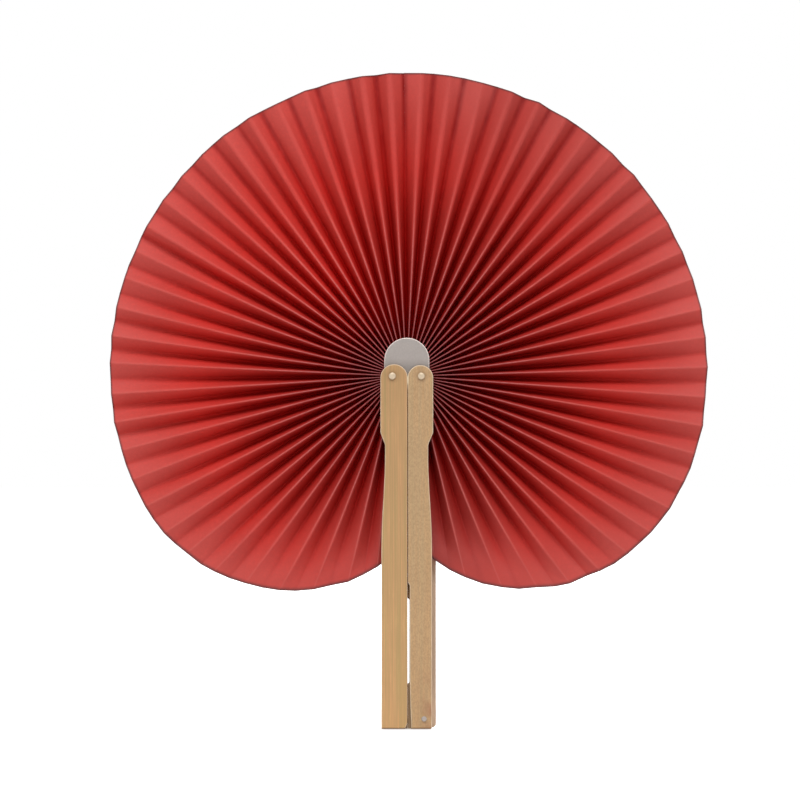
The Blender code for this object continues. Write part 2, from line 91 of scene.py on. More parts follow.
def tubeFaces(rows, columns, offset=0):
    # closed loops of points, one for each row, joined along the rows and capped at both ends
    last = offset + (rows - 1) * columns
    caps = [tuple(range(offset, offset + columns))[::-1], tuple(range(last, last + columns))]
    return gridFaces(rows, columns, offset, wrap=True) + caps


def sheetPiece(name, middle, normals, values, backValues):
    # a closed sheet: the middle grid moved half the paper's thickness to either side, its four edges joined
    rows, columns = middle.shape[:2]
    count = rows * columns
    if normals[..., 1].mean() > 0:
        normals = -normals
    half = normals * leafShape["paper"] / 2
    points = np.concatenate([(middle + half).reshape(-1, 3), (middle - half).reshape(-1, 3)])
    faces = gridFaces(rows, columns) + [tuple(reversed(face)) for face in gridFaces(rows, columns, count)]
    index = np.arange(count).reshape(rows, columns)
    border = np.concatenate([index[0], index[1:, -1], index[-1, -2::-1], index[-2:0:-1, 0]])
    after = np.roll(border, -1)
    faces += quadsOf(after, border, border + count, after + count)
    return newPiece(name, points, faces, {key: np.stack([v, backValues[key]]) for key, v in values.items()})


def sheetNormals(points, tangents):
    # square to the tangents along the rows and to the columns of a grid
    normals = np.cross(tangents, np.gradient(points, axis=0))
    return normals / np.linalg.norm(normals, axis=2, keepdims=True)


def fill(tree, node, values):
    # a value that is a socket is linked, and a colour of three numbers gets its alpha
    for key, value in values.items():
        socket = node.inputs[key]
        if isinstance(value, bpy.types.NodeSocket):
            tree.links.new(value, socket)
        else:
            socket.default_value = (*value, 1) if socket.type == "RGBA" else value


def addNode(tree, kind, values, **settings):
    node = tree.nodes.new(kind)
    for key, value in settings.items():
        setattr(node, key, value)
    fill(tree, node, values)
    return node


def maths(tree, operation, *values):
    return addNode(tree, "ShaderNodeMath", dict(enumerate(values)), operation=operation).outputs[0]


def timesAll(tree, *values):
    result = values[0]
    for value in values[1:]:
        result = maths(tree, "MULTIPLY", result, value)
    return result


def mapped(tree, value, low, high, toLow=0.0, toHigh=1.0, smooth=False):
    return addNode(
        tree, "ShaderNodeMapRange",
        {"Value": value, "From Min": low, "From Max": high, "To Min": toLow, "To Max": toHigh},
        interpolation_type="SMOOTHSTEP" if smooth else "LINEAR",
    ).outputs[0]


def rising(tree, *runs):
    # the product of masks, each of which goes from 0 to 1 as its value goes from low to high
    return timesAll(tree, *(mapped(tree, *run) for run in runs))


def between(tree, value, low, high, soft):
    # 1 from low to high, falling to 0 over the soft width on either side
    rise = mapped(tree, value, low - soft, low, smooth=True)
    return maths(tree, "MULTIPLY", rise, mapped(tree, value, high, high + soft, 1.0, 0.0, smooth=True))


def noise(tree, place, scale, detail, roughness=0.5):
    values = {"Vector": place, "Scale": scale, "Detail": detail, "Roughness": roughness}
    return addNode(tree, "ShaderNodeTexNoise", values).outputs[0]


def stretched(tree, place, *scale):
    return addNode(tree, "ShaderNodeMapping", {"Vector": place, "Scale": scale}).outputs[0]


def scaled(tree, colour, factor):
    return addNode(tree, "ShaderNodeVectorMath", {0: colour, "Scale": factor}, operation="SCALE").outputs[0]


def mixed(tree, factor, a, b):
    return addNode(tree, "ShaderNodeMix", {0: factor, 6: a, 7: b}, data_type="RGBA").outputs[2]


def painted(tree, base, colour, amount, mask):
    # the base covered by a colour as far as the amount and the mask say
    return mixed(tree, mapped(tree, mask, 0, 1, 0, amount), base, colour)


def darker(colour, share):
    return tuple(share * v for v in colour)


def newGroup(name, inputs, outputs):
    # an input stands with its number, or with its kind of socket in words, and an output with its kind
    group = bpy.data.node_groups.new(name, "ShaderNodeTree")
    for label, value in inputs.items():
        kind = value if isinstance(value, str) else "Float"
        socket = group.interface.new_socket(label, in_out="INPUT", socket_type="NodeSocket" + kind)
        if kind == "Float":
            socket.default_value = value
    for label, kind in outputs.items():
        group.interface.new_socket(label, in_out="OUTPUT", socket_type="NodeSocket" + kind)
    return group, group.nodes.new("NodeGroupInput").outputs, group.nodes.new("NodeGroupOutput")


def makeToneDrift():
    # the colour times 1 + amount * (noise - 0.5) * 2, at one scale
    group, given, result = newGroup(
        "toneDrift", {"Colour": "Color", "Place": "Vector", "Scale": 40.0, "Amount": 0.1}, {"Colour": "Color"}
    )
    swing = maths(group, "SUBTRACT", noise(group, given["Place"], given["Scale"], 4.0), 0.5)
    factor = maths(group, "MULTIPLY_ADD", swing, maths(group, "MULTIPLY", given["Amount"], 2.0), 1.0)
    fill(group, result, {"Colour": scaled(group, given["Colour"], factor)})
    return group


def makeWornEdge():
    # 1 at an edge, falling to 0 at the width from it, broken up by noise
    group, given, result = newGroup(
        "wornEdge", {"Gap": 0.0, "Width": 0.5 * mm, "Place": "Vector", "Scale": 400.0, "Breakup": 0.5},
        {"Mask": "Float"},
    )
    fall = mapped(group, given["Gap"], 0.0, given["Width"], 1.0, 0.0, smooth=True)
    swing = mapped(group, noise(group, given["Place"], given["Scale"], 3.0), 0.35, 0.65)
    missing = maths(group, "MULTIPLY", swing, given["Breakup"])
    fill(group, result, {"Mask": maths(group, "MULTIPLY", fall, maths(group, "SUBTRACT", 1.0, missing))})
    return group


def makeFineGrain():
    # two sizes of noise added up: a height and a mask of small specks, from 0 to 1
    group, given, result = newGroup(
        "fineGrain", {"Place": "Vector", "Scale": 1000.0, "Cover": 0.4},
        {"Height": "Float", "Specks": "Float"},
    )
    coarse = noise(group, given["Place"], given["Scale"], 5.0, 0.62)
    fine = noise(group, given["Place"], maths(group, "MULTIPLY", given["Scale"], 3.7), 2.0)
    low = maths(group, "SUBTRACT", 0.62, given["Cover"])
    specks = mapped(group, coarse, low, maths(group, "ADD", low, 0.16), 1.0, 0.0)
    fill(group, result, {"Height": maths(group, "MULTIPLY_ADD", fine, 0.5, coarse), "Specks": specks})
    return group


toneDrift = makeToneDrift()
wornEdge = makeWornEdge()
fineGrain = makeFineGrain()


def drifted(tree, colour, place, scale, amount):
    values = {"Colour": colour, "Place": place, "Scale": scale, "Amount": amount}
    return addNode(tree, "ShaderNodeGroup", values, node_tree=toneDrift).outputs[0]


def worn(tree, gap, place, width, scale, breakup):
    values = {"Gap": gap, "Width": width, "Place": place, "Scale": scale, "Breakup": breakup}
    return addNode(tree, "ShaderNodeGroup", values, node_tree=wornEdge).outputs[0]


def grained(tree, place, scale, cover):
    values = {"Place": place, "Scale": scale, "Cover": cover}
    return addNode(tree, "ShaderNodeGroup", values, node_tree=fineGrain).outputs


def markOf(tree, key):
    return addNode(tree, "ShaderNodeAttribute", {}, attribute_name=key).outputs["Fac"]


def newMaterial(name, flat):
    material = bpy.data.materials.new(name)
    material.use_nodes = True
    material.diffuse_color = (*flat, 1)
    tree = material.node_tree
    place = tree.nodes.new("ShaderNodeTexCoord").outputs["Object"]
    return material, tree, tree.nodes["Principled BSDF"], place


def surfaced(tree, shader, colour, height, rough, bump, more):
    # rough holds the grain's heights from and to, and the roughness there; bump its strength and its depth
    strength, distance = bump
    values = {"Height": height, "Strength": strength, "Distance": distance}
    relief = addNode(tree, "ShaderNodeBump", values).outputs[0]
    roughness = mapped(tree, height, *rough)
    fill(tree, shader, {"Base Color": colour, "Roughness": roughness, "Normal": relief, **more})


leafShape = {
    "pleats": 29,  # on each side of the top
    "pleatsPerPiece": 2,
    "panelWidth": 6.9 * mm,
    "paper": 0.15 * mm,
    "hubRadius": 8.2 * mm,
    "rimRadius": 126.6 * mm,
    "rim": {  # an even trim from the top down, and how the rim draws in to either handle
        -1: {"trim": 9.55 * mm, "evenness": 1.86, "endRadius": 75.3 * mm, "from": 116.2 * deg, "power": 1.80},
        1: {"trim": 16.3 * mm, "evenness": 3.96, "endRadius": 72.2 * mm, "from": 106.5 * deg, "power": 2.25},
    },
    "crease": {  # the last crease's angle, where the pleats start to spread, and how fast
        -1: {"last": 178.7 * deg, "from": 13.4, "step": 0.0039 * deg, "startPower": 1.08},
        1: {"last": 179.6 * deg, "from": 17.4, "step": 0.0092 * deg, "startPower": 2.4},
    },
    "spreadPower": 3,
    "startU": 4.5 * mm,  # of the last crease, at the rivets' height
    "topLean": 0.5 * deg,  # the topmost creases lean to the left,
    "leanPleats": 1.2,  # less with each pleat
    "rivetU": 6.05 * mm,
    "pivotHeight": 95.0 * mm,
    "ridgeRound": (0.16 * mm, 0.7 * mm),  # radius of a ridge at the hub and at the rim
    "crestRound": 1.7 * mm,  # added at the rim, for the soft crests at the top and beside the handles
    "valleyRound": (0.20 * mm, 1.6 * mm),  # and of a valley, where the paper opens flatter
    "roundPower": 1.5,
    "roundShare": 0.92,  # of a panel's span, which both of its arcs together may fill
    "angleWobble": 0.16 * deg,
    "rimWobble": 0.15 * mm,
    "depthWobble": 0.035,
    "rimLineAt": ((1.7, 2.3), (1.0, 0.6)),  # angles, and how much the rim's gap counts: its dark line widens
    "bow": 0.10 * mm,  # how far a panel bulges, less near the hub,
    "bowLeast": 0.4,
    "bowPart": (0.25, 0.6),  # times a random part with this mean and spread,
    "bowWave": (0.5, 7.0),  # and a wave along the panel, of this height and this many radians
    "floorU": 2.78 * mm,  # of the flap glued to the handle, its half width and its top below the rivets
    "flapHalf": 4.30 * mm,
    "flapTop": 6.9 * mm,
    "endSteps": (6, 8),  # columns of the end panel and of its flap
    "rows": 30,
    "rowPower": 1.1,  # closes the rows up towards the hub
    "foldSteps": 4,
    "panelSteps": 4,
    "seed": 7,
}
pivot = leafShape["pivotHeight"]
leafColour = {
    "paper": (0.610, 0.050, 0.038),
    "paleRim": (0.590, 0.063, 0.049),
    # the worn ridges' colour, with a painted highlight
    "worn": (0.610, 0.150, 0.130),
    "wornAndLitNearHub": (0.340, 0.128, 0.134),
    "rim": (0.060, 0.012, 0.012),
    "paleFrom": (80 * mm, 115 * mm),  # pairs of lengths here are distances from the leaf's centre
    "drifts": ((45.0, 0.09), (700.0, 0.07)),  # scale and amount
    "grain": (900.0, 0.16),  # scale and cover
    "fleck": (0.62, 0.22),  # share of the paper's colour, and amount
    "ridgeShade": (0.36, 0.97),  # painted shade of the ridges at these two distances
    "ridgeFrom": (20 * mm, 85 * mm),
    "valleyShade": (1.0, 0.72, 0.94),  # of the valleys near the hub, half way, and near the rim
    "valleyFrom": ((20 * mm, 45 * mm), (62 * mm, 90 * mm)),
    "skyShadePower": (0.0, 0.85, 0.85),  # painted shade: how strongly the folds' hidden depth darkens red, green and blue
    "streak": (0.24, 0.45, 0.45),  # painted shadow: a dark line along each valley, for red, green and blue
    "valleyShadowLine": (2.3 * mm, 120.0, 0.3),  # width, scale and breakup, as in the rim's line
    "valleyShadowGrowth": (1.3, -0.7, 0.85),  # towards the rim: at the top, at the bottom, and less at the sides
    "litFolds": {"less": 1.1, "at": -47 * deg, "width": 24 * deg, "share": 0.38, "spread": 0.22},
    "ridgeLine": (700.0, 0.35),  # scale and breakup of the worn ridges with their painted highlight, and their width near hub and rim
    "ridgeWidth": (10 * mm, 110 * mm, 0.17 * mm, 0.75 * mm),
    "ridgeFade": (35 * mm, 100 * mm, 0.85),  # from this amount near the hub
    "ridgeLeast": (-0.26, 0.27),  # to this much of the valley's painted shadow, plus this
    "wornAndLitFrom": (20 * mm, 70 * mm),
    "rimLine": (1.1 * mm, 900.0, 0.2),
    "roughness": (0.5, 1.0, 0.54, 0.72),
    "bump": (0.25, 0.08 * mm),
    "gloss": 0.45,  # on open paper, falling with the square of its share of sky
    # the paper's tone, with painted light and shade: its mean, more on one side, less in a dim place and
    # both lobes, more in a light place
    "toneAndPaintedLight": {
        "mean": 0.87, "sway": 0.05, "swayTo": -60 * deg,
        "dim": -0.13, "dimAt": 27 * deg, "dimWidth": 24 * deg, "dimLeast": 0.3,
        "lobe": {-1: -0.06, 1: -0.28}, "lobeWidth": 23 * deg,
        "light": 0.46, "lightAt": -37 * deg, "lightWidth": 22 * deg,
        "lightShare": 0.30, "lightSpread": 0.21,  # where it lies from hub to rim, and its width
    },
    "endSky": (0.35, 0.90, 80 * mm),  # share of sky of the end panel at its top, and from this far below
}

# what each point of the leaf knows: distances to the next ridge, valley, rim and hub, the share of sky
# it sees, for painted shade, how dark its valley's painted shadow is, and the paper's tone with its
# painted light and shade
leafMarks = ("ridgeGap", "valleyGap", "rimGap", "hubGap", "openSky", "streak", "tone")


def creaseAngle(side, k):
    # pitch * k + step * (k - from)^3, the second term only past "from"
    s, crease = leafShape, leafShape["crease"][side]
    spread = crease["step"] * (s["pleats"] - crease["from"]) ** s["spreadPower"]
    pitch = (crease["last"] - spread) / s["pleats"]
    return pitch * k + crease["step"] * np.maximum(0.0, k - crease["from"]) ** s["spreadPower"]


def creaseStart(side, k):
    return leafShape["startU"] * (k / leafShape["pleats"]) ** leafShape["crease"][side]["startPower"]


def rimRadius(side, angle):
    # the full radius less trim * (angle / last)^evenness, and less a drop that grows as a power lower down
    s, edge, last = leafShape, leafShape["rim"][side], leafShape["crease"][side]["last"]
    trimmed = s["rimRadius"] - edge["trim"] * (angle / last) ** edge["evenness"]
    share = np.maximum(0.0, (angle - edge["from"]) / (last - edge["from"]))
    return trimmed - (trimmed - edge["endRadius"]) * share ** edge["power"]


def alongCrease(start, angle, radius):
    # the length along a crease from its start at (start, 0) to a distance from the leaf's centre
    shift = start * np.sin(angle)
    return np.sqrt(radius ** 2 - start ** 2 + shift ** 2) - shift


def creaseLines(side):
    # every crease, half a pleat apart, as rows of points from hub to rim: x, z and half the leaf's depth,
    # which is sqrt(panel width^2 - span between creases^2) / 2
    s = leafShape
    wobble = np.random.RandomState(s["seed"] + side)
    count = 2 * s["pleats"] + 1
    k = np.arange(count) / 2
    free = np.ones(count)
    free[[0, -1]] = 0
    even = creaseAngle(side, k)
    lean = side * s["topLean"] * np.exp(-k / s["leanPleats"])
    angle = even + wobble.normal(0, s["angleWobble"], count) * free - lean
    start = creaseStart(side, k)
    rim = rimRadius(side, even) + wobble.normal(0, s["rimWobble"], count) * free
    inner = alongCrease(start, angle, s["hubRadius"])
    outer = alongCrease(start, angle, rim)
    share = np.linspace(0, 1, s["rows"])[:, None] ** s["rowPower"]
    along = inner + (outer - inner) * share
    x = side * (start + along * np.sin(angle))
    z = pivot + along * np.cos(angle)
    span = np.hypot(np.diff(x, axis=1), np.diff(z, axis=1))
    nearby = np.concatenate([span[:, :1], (span[:, 1:] + span[:, :-1]) / 2, span[:, -1:]], axis=1)
    depth = np.sqrt(np.maximum(s["panelWidth"] ** 2 - nearby ** 2, 1e-8)) / 2
    depth = depth * (1 + wobble.normal(0, s["depthWobble"], count) * free)
    edgeX, edgeZ = np.gradient(x[-1]), np.gradient(z[-1])
    square = np.abs(edgeX * np.cos(angle) - edgeZ * side * np.sin(angle)) / np.hypot(edgeX, edgeZ)
    toRim = (outer - along) * square * np.interp(even, *s["rimLineAt"])
    return x, z, depth, share[:, 0], toRim, angle


def panelColumns(near, far, *heights):
    # one panel between two creases: an arc at either crease and the straight tangent between them. With h
    # the depth between the creases and r the sum of both radii, the panel leans at
    # atan((h - r)/span) + asin(r/c), where c is the distance between the arcs' centres, and each arc turns
    # from flat to that lean
    s = leafShape
    yNear, yFar, nearRound, farRound, bow = (line[:, None] for line in heights)
    span = np.linalg.norm(far - near, axis=1)[:, None]
    way = (far - near) / span
    tight = np.minimum(1, s["roundShare"] * span / (nearRound + farRound))
    nearRound, farRound = nearRound * tight, farRound * tight
    both = nearRound + farRound
    drop = np.abs(yFar - yNear) - both
    lean = np.arctan2(drop, span) + np.arcsin(np.minimum(1, both / np.hypot(span, drop)))
    sense = np.sign(yFar - yNear)
    turn = lean * np.linspace(0, 1, s["foldSteps"] + 1)
    nearT, farT = nearRound * np.sin(turn), farRound * np.sin(turn)
    nearY, farY = yNear + sense * nearRound * (1 - np.cos(turn)), yFar - sense * farRound * (1 - np.cos(turn))
    share = np.linspace(0, 1, s["panelSteps"] + 1)[1:-1]
    startT, startY = nearT[:, -1:], nearY[:, -1:]
    endT, endY = span - farT[:, -1:], farY[:, -1:]
    bulge = bow * 4 * share * (1 - share)
    lineT = startT + (endT - startT) * share - bulge * np.sin(lean) * sense
    lineY = startY + (endY - startY) * share + bulge * np.cos(lean)
    t = np.concatenate([nearT, lineT, span - farT[:, ::-1]], axis=1)
    y = np.concatenate([nearY, lineY, farY[:, ::-1]], axis=1)
    angle = np.concatenate([turn, np.repeat(lean, len(share), 1), turn[:, ::-1]], axis=1)
    flat = near[:, None, :] + way[:, None, :] * t[:, :, None]
    points = np.stack([flat[..., 0], y, flat[..., 1]], axis=-1)
    level = np.cos(angle)
    tangent = np.stack([way[:, :1] * level, sense * np.sin(angle), way[:, 1:] * level], axis=-1)
    length = np.cumsum(np.hypot(np.diff(t), np.diff(y)), axis=1)
    return points, tangent, np.concatenate([np.zeros_like(span), length], axis=1)


def openSky(span, drop, down):
    # the share of the sky that a panel sees from a share "down" of its way into the fold: (1 - cos a) / 2
    # with a = atan(span/drop) + atan((2 - down) span / (down drop)), the angle between both ridges
    ratio = (span / np.maximum(drop, 1e-5))[:, None]
    angle = np.arctan(ratio) + np.arctan2((2 - down) * ratio, np.maximum(down, 1e-4))
    return (1 - np.cos(angle)) / 2


def bell(value, middle, width):
    # exp(-(distance from the middle / width)^2)
    return np.exp(-((value - middle) / width) ** 2)


def valleyShadowAt(side, angle, share):
    # the valleys' painted shadow is darkest at the top, and fades towards the rim at the sides and beside the
    # handles: 1 + share^2 (growth cos(angle)^2 - less sin(angle)^2), and less a bell in angle and in share,
    # where the light reaches into the folds
    top, bottom, less = leafColour["valleyShadowGrowth"]
    lit = leafColour["litFolds"]
    grown = np.where(np.cos(angle) > 0, top, bottom) * np.cos(angle) ** 2 - less * np.sin(angle) ** 2
    reached = lit["less"] * bell(side * angle, lit["at"], lit["width"])
    reached = reached * bell(share, lit["share"], lit["spread"])
    return 1 + share ** 2 * grown - reached


def toneWithPaintedLight(side, angle, share):
    # the paper's tone with painted light and shade: mean + sway cos(a - swayTo), plus bells in angle for the
    # dim place, the lobe and the light place. The dim one grows with the share of the way to the rim, and the
    # light one has a bell in that share too
    toneAndPaintedLight = leafColour["toneAndPaintedLight"]
    dim = toneAndPaintedLight["dim"] * (toneAndPaintedLight["dimLeast"] + share) * bell(side * angle, toneAndPaintedLight["dimAt"], toneAndPaintedLight["dimWidth"])
    lobe = toneAndPaintedLight["lobe"][side] * bell(angle, math.pi, toneAndPaintedLight["lobeWidth"])
    light = toneAndPaintedLight["light"] * bell(side * angle, toneAndPaintedLight["lightAt"], toneAndPaintedLight["lightWidth"])
    light = light * bell(share, toneAndPaintedLight["lightShare"], toneAndPaintedLight["lightSpread"])
    return toneAndPaintedLight["mean"] + toneAndPaintedLight["sway"] * np.cos(side * angle - toneAndPaintedLight["swayTo"]) + dim + lobe + light


def pleatGrid(side, lines, first, last, seed):
    # the panels from half-crease first to last, side by side, with what the finish needs to know of either
    # side of the paper: a ridge of the front is a valley of the back. A fold's radius grows as a power of the
    # share of the way to the rim, and a panel bulges by bow (bowLeast + share) (random part + wave)
    s = leafShape
    x, z, depth, share, toRim, angle = lines
    flat = np.stack([x, z], axis=-1)
    wobble = np.random.RandomState(seed)
    rounds = {}
    for h in range(first, last + 1):
        low, high = s["ridgeRound"] if h % 2 else s["valleyRound"]
        crest = s["crestRound"] * np.cos(angle[h]) ** 2 if h % 2 else 0.0
        rounds[h] = low + (high + crest - low) * share ** s["roundPower"]
    points, tangents = [], []
    values, backValues = {key: [] for key in leafMarks}, {key: [] for key in leafMarks}
    for h in range(first, last):
        sign = -1 if h % 2 else 1
        phase = wobble.uniform(0, 6.28)
        wave, turns = s["bowWave"]
        bulge = wobble.normal(*s["bowPart"]) + wave * np.sin(phase + turns * share)
        bow = s["bow"] * (s["bowLeast"] + share) * bulge
        p, t, length = panelColumns(
            flat[:, h], flat[:, h + 1],
            sign * depth[:, h], -sign * depth[:, h + 1], rounds[h], rounds[h + 1], bow,
        )
        across = length / length[:, -1:]
        down = across if sign < 0 else 1 - across
        span = np.linalg.norm(flat[:, h + 1] - flat[:, h], axis=1)
        found = {
            "rimGap": toRim[:, h:h + 1] * (1 - across) + toRim[:, h + 1:h + 2] * across,
            "hubGap": np.hypot(p[..., 0], p[..., 2] - pivot),
            "streak": np.broadcast_to(valleyShadowAt(side, angle[h], share)[:, None], length.shape),
            "tone": toneWithPaintedLight(side, angle[h] * (1 - across) + angle[h + 1] * across, share[:, None]),
        }
        keep = slice(1 if points else 0, None)
        if points:
            tangents[-1][:, -1] += t[:, 0]
        points.append(p[:, keep])
        tangents.append(t[:, keep])
        for target, fold in ((values, down), (backValues, 1 - down)):
            found["ridgeGap"] = length[:, -1:] * fold
            found["valleyGap"] = length[:, -1:] * (1 - fold)
            found["openSky"] = openSky(span, depth[:, h] + depth[:, h + 1], fold)
            for key, numbers in found.items():
                target[key].append(numbers[:, keep])
    points, tangents = np.concatenate(points, 1), np.concatenate(tangents, 1)
    joined = [
        {key: np.concatenate(parts, 1) for key, parts in given.items()} for given in (values, backValues)
    ]
    return points, sheetNormals(points, tangents), *joined


def endGrid(lines, side):
    # the panel beside the handle: from the last crease to the channel's floor, and the flap glued there.
    # each row is a line from the crease to the floor's front corner and on across the floor
    s = leafShape
    nearU, nearZ, nearY = np.abs(lines[0][:, -1]), lines[1][:, -1], lines[2][:, -1]
    floorU, flapHalf = s["floorU"], s["flapHalf"]
    panelSteps, flapSteps = s["endSteps"]
    foot = nearZ.min()
    height = foot + (nearZ - foot) * ((pivot - s["flapTop"] - foot) / (nearZ[0] - foot))
    u, y = (np.interp(height, nearZ[::-1], line[::-1])[:, None] for line in (nearU, nearY))
    share = np.linspace(0, 1, panelSteps + 1)
    floorY = np.linspace(-flapHalf, flapHalf, flapSteps + 1)[1:]
    across = np.concatenate([u + (floorU - u) * share, np.full((len(u), flapSteps), floorU)], axis=1)
    deep = np.concatenate([y + (-flapHalf - y) * share, np.tile(floorY, (len(u), 1))], axis=1)
    below = np.tile((pivot - height)[:, None], across.shape[1])
    points = np.stack([side * across, deep, np.tile(height[:, None], across.shape[1])], axis=-1)
    top, bottom, reach = leafColour["endSky"]
    values = {  # flat paper, far from any crease
        "ridgeGap": 0.004, "valleyGap": 0.004, "rimGap": height[:, None] - foot, "hubGap": below,
        "openSky": top + (bottom - top) * np.clip(below / reach, 0, 1), "streak": 0.0,
        "tone": toneWithPaintedLight(side, math.pi, 1.0),
    }
    values = {key: np.broadcast_to(numbers, across.shape) for key, numbers in values.items()}
    return points, sheetNormals(points, np.gradient(points, axis=1)), values


def makeLeafMaterial():
    c = leafColour
    material, tree, shader, place = newMaterial("pleatedPaper", c["paper"])
    gap = {key: markOf(tree, key) for key in leafMarks}
    hub, sky = gap["hubGap"], gap["openSky"]
    colour = mixed(tree, mapped(tree, hub, *c["paleFrom"], smooth=True), c["paper"], c["paleRim"])
    for drift in c["drifts"]:
        colour = drifted(tree, colour, place, *drift)
    grain = grained(tree, place, *c["grain"])
    shade, amount = c["fleck"]
    fleck = maths(tree, "MULTIPLY", grain["Specks"], amount)
    flecked = mixed(tree, fleck, scaled(tree, colour, gap["tone"]), darker(c["paper"], shade))
    # painted shade in the folds: hidden paper is painted darker and a deeper red, each colour channel
    # times openSky ^ power, the valley's painted shadow, and a painted shade that goes from the ridge's to
    # the valley's across each panel
    across = maths(tree, "DIVIDE", gap["ridgeGap"], leafShape["panelWidth"])
    nearHub, middle, nearRim = c["valleyShade"]
    inner, outer = c["valleyFrom"]
    valleyShade = timesAll(tree, mapped(tree, hub, *inner, nearHub, middle, smooth=True),
                           mapped(tree, hub, *outer, 1.0, nearRim / middle, smooth=True))
    shade = mapped(tree, across, 0.0, 1.0, mapped(tree, hub, *c["ridgeFrom"], *c["ridgeShade"]), valleyShade)
    streak = timesAll(tree, worn(tree, gap["valleyGap"], place, *c["valleyShadowLine"]), gap["streak"])
    channels = addNode(tree, "ShaderNodeSeparateColor", {"Color": flecked}).outputs
    shaded = tree.nodes.new("ShaderNodeCombineColor")
    for index in range(3):
        skyShade = maths(tree, "POWER", sky, c["skyShadePower"][index])
        shadowed = maths(tree, "MULTIPLY_ADD", streak, -c["streak"][index], 1.0)
        tree.links.new(timesAll(tree, skyShade, shadowed, shade, channels[index]), shaded.inputs[index])
    # worn ridges with a painted highlight on them, thinner and clearer near the hub, and the rim's dark line
    least = maths(tree, "MULTIPLY_ADD", gap["streak"], *c["ridgeLeast"])
    ridge = worn(tree, gap["ridgeGap"], place, mapped(tree, hub, *c["ridgeWidth"]), *c["ridgeLine"])
    ridge = timesAll(tree, ridge, mapped(tree, hub, *c["ridgeFade"], least, smooth=True))
    ridgeWearAndHighlight = mixed(tree, mapped(tree, hub, *c["wornAndLitFrom"]), c["wornAndLitNearHub"], c["worn"])
    creased = mixed(tree, ridge, shaded.outputs[0], ridgeWearAndHighlight)
    finished = mixed(tree, worn(tree, gap["rimGap"], place, *c["rimLine"]), creased, c["rim"])
    gloss = mapped(tree, maths(tree, "POWER", sky, 2.0), 0, 1, 0, c["gloss"])
    more = {"Specular IOR Level": gloss}
    surfaced(tree, shader, finished, grain["Height"], c["roughness"], c["bump"], more)
    return material


def makeLeaf():
    s = leafShape
    paper = makeLeafMaterial()
    for word, side in sides:
        lines = creaseLines(side)
        for number, first in enumerate(range(0, s["pleats"], s["pleatsPerPiece"]), 1):
            last = min(first + s["pleatsPerPiece"], s["pleats"])
            points, normals, values, backValues = pleatGrid(
                side, lines, 2 * first, 2 * last, seed=100 * number + side
            )
            piece = sheetPiece(f"pleats_{word}_{number:02d}", points, normals, values, backValues)
            piece.data.materials.append(paper)
            node = f"leaf_{word}_{number:02d}"
            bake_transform(piece)
            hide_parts(node)
        points, normals, values = endGrid(lines, side)
        piece = sheetPiece(f"end_panel_{word}", points, normals, values, values)
        piece.data.materials.append(paper)
        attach(piece, f"{word}_handle")
        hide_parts(f"leaf_{word}_end")
    print("leaf:", 2 * s["pleats"], "pleats in", 2 * number, "pieces")


# each handle has five plies: two outer walls and a core of three
handleShape = {
    "innerU": {-1: -0.34 * mm, 1: 0.37 * mm},  # the seam lies a little to the right of the middle
    "headOuterU": 11.0 * mm,
    "archDrop": 0.8 * mm,
    "headLength": 23.6 * mm,
    "shoulderLength": 5.0 * mm,
    "waistU": {-1: 9.1 * mm, 1: 8.9 * mm},
    "gripU": {-1: 10.58 * mm, 1: 10.50 * mm},
    "backLedgeU": 12.2 * mm,  # the right handle's back wall below the flare
    "flareTop": 33.0 * mm,
    "flareBottom": 72.0 * mm,
    "length": 147.0 * mm,
    "halfDepth": 6.115 * mm,
    "wall": 1.4 * mm,
    "floorU": 2.4 * mm,
    "earLength": 6.3 * mm,
    "channelLength": 134.0 * mm,
    "sawRadius": 16.0 * mm,
    "relief": (18.4 * mm, 54.3 * mm, 0.4 * mm, 1.02 * mm),  # right one: from and to above the end, slope, u
    "rabbet": ((61.0, 0.37), (60.0, 1.2), (19.0, 1.25), (9.0, 1.5), (0.0, 1.9)),  # mm above the end, inner u
    "soften": {"outer": 0.7 * mm, "rabbet": 0.5 * mm, "relief": 0.2 * mm},  # rounds the outline's corners
    "edgeRound": 0.36 * mm,
    "cornerRound": {"front": 0.7 * mm, "core": 0.8 * mm, "back": 1.5 * mm},
    "chamfer": (1.2 * mm, 2.4 * mm),
    "slotHalf": 1.1 * mm,
    "slotTop": {-1: 4.2 * mm, 1: 6.4 * mm},  # above the end
    "slotU": {-1: 1.2 * mm, 1: 9.4 * mm},
}


def handleRows(side):
    # heights for the rows: even turns round the head's arch, then steps that close up where the outline
    # bends. A band is its top, its bottom and its number of rows
    s = handleShape
    radius = (s["headOuterU"] - s["innerU"][side]) / 2
    turn = np.radians(np.concatenate([[2.0, 4.0, 6.5, 9.0, 12.0, 15.5], np.linspace(20, 90, 19)]))
    head, shoulder = s["headLength"], s["headLength"] + s["shoulderLength"]
    belowPivot = (
        (1.6 * mm, head - 1.2 * mm, 12), (head - 0.9 * mm, shoulder + 0.9 * mm, 21),
        (shoulder + 1.6 * mm, s["flareTop"], 4), (s["flareTop"], s["flareBottom"], 18),
        (s["flareBottom"] + 3 * mm, s["length"] - 63 * mm, 4),
    )
    aboveEnd = (  # in mm
        (61.8, 59.2, 9), (58, 56, 3), (55, 52, 9), (50, 22, 6), (20.6, 17.8, 9), (16, 8, 5), (7, 3.4, 12),
    )
    fine = np.array([0.0, 0.02, 0.08, 0.18, 0.32, 0.5, 0.8, 1.1, 1.5, 2.0, 2.4, 2.9])
    marks = [radius * np.cos(turn) - s["archDrop"]] + [-np.linspace(*band) for band in belowPivot]
    marks += [above * mm - s["length"] for above in [np.linspace(*band) for band in aboveEnd] + [fine]]
    return np.unique(np.round(np.concatenate(marks), 7))[::-1]


def softened(z, keys, radius):
    # a line through the key points with its corners rounded: the mean of the line over a window of heights
    keyZ, keyU = np.array(keys).T
    order = np.argsort(keyZ)
    window = np.linspace(-radius, radius, 21)
    return np.interp(z[:, None] + window, keyZ[order], keyU[order]).mean(1)


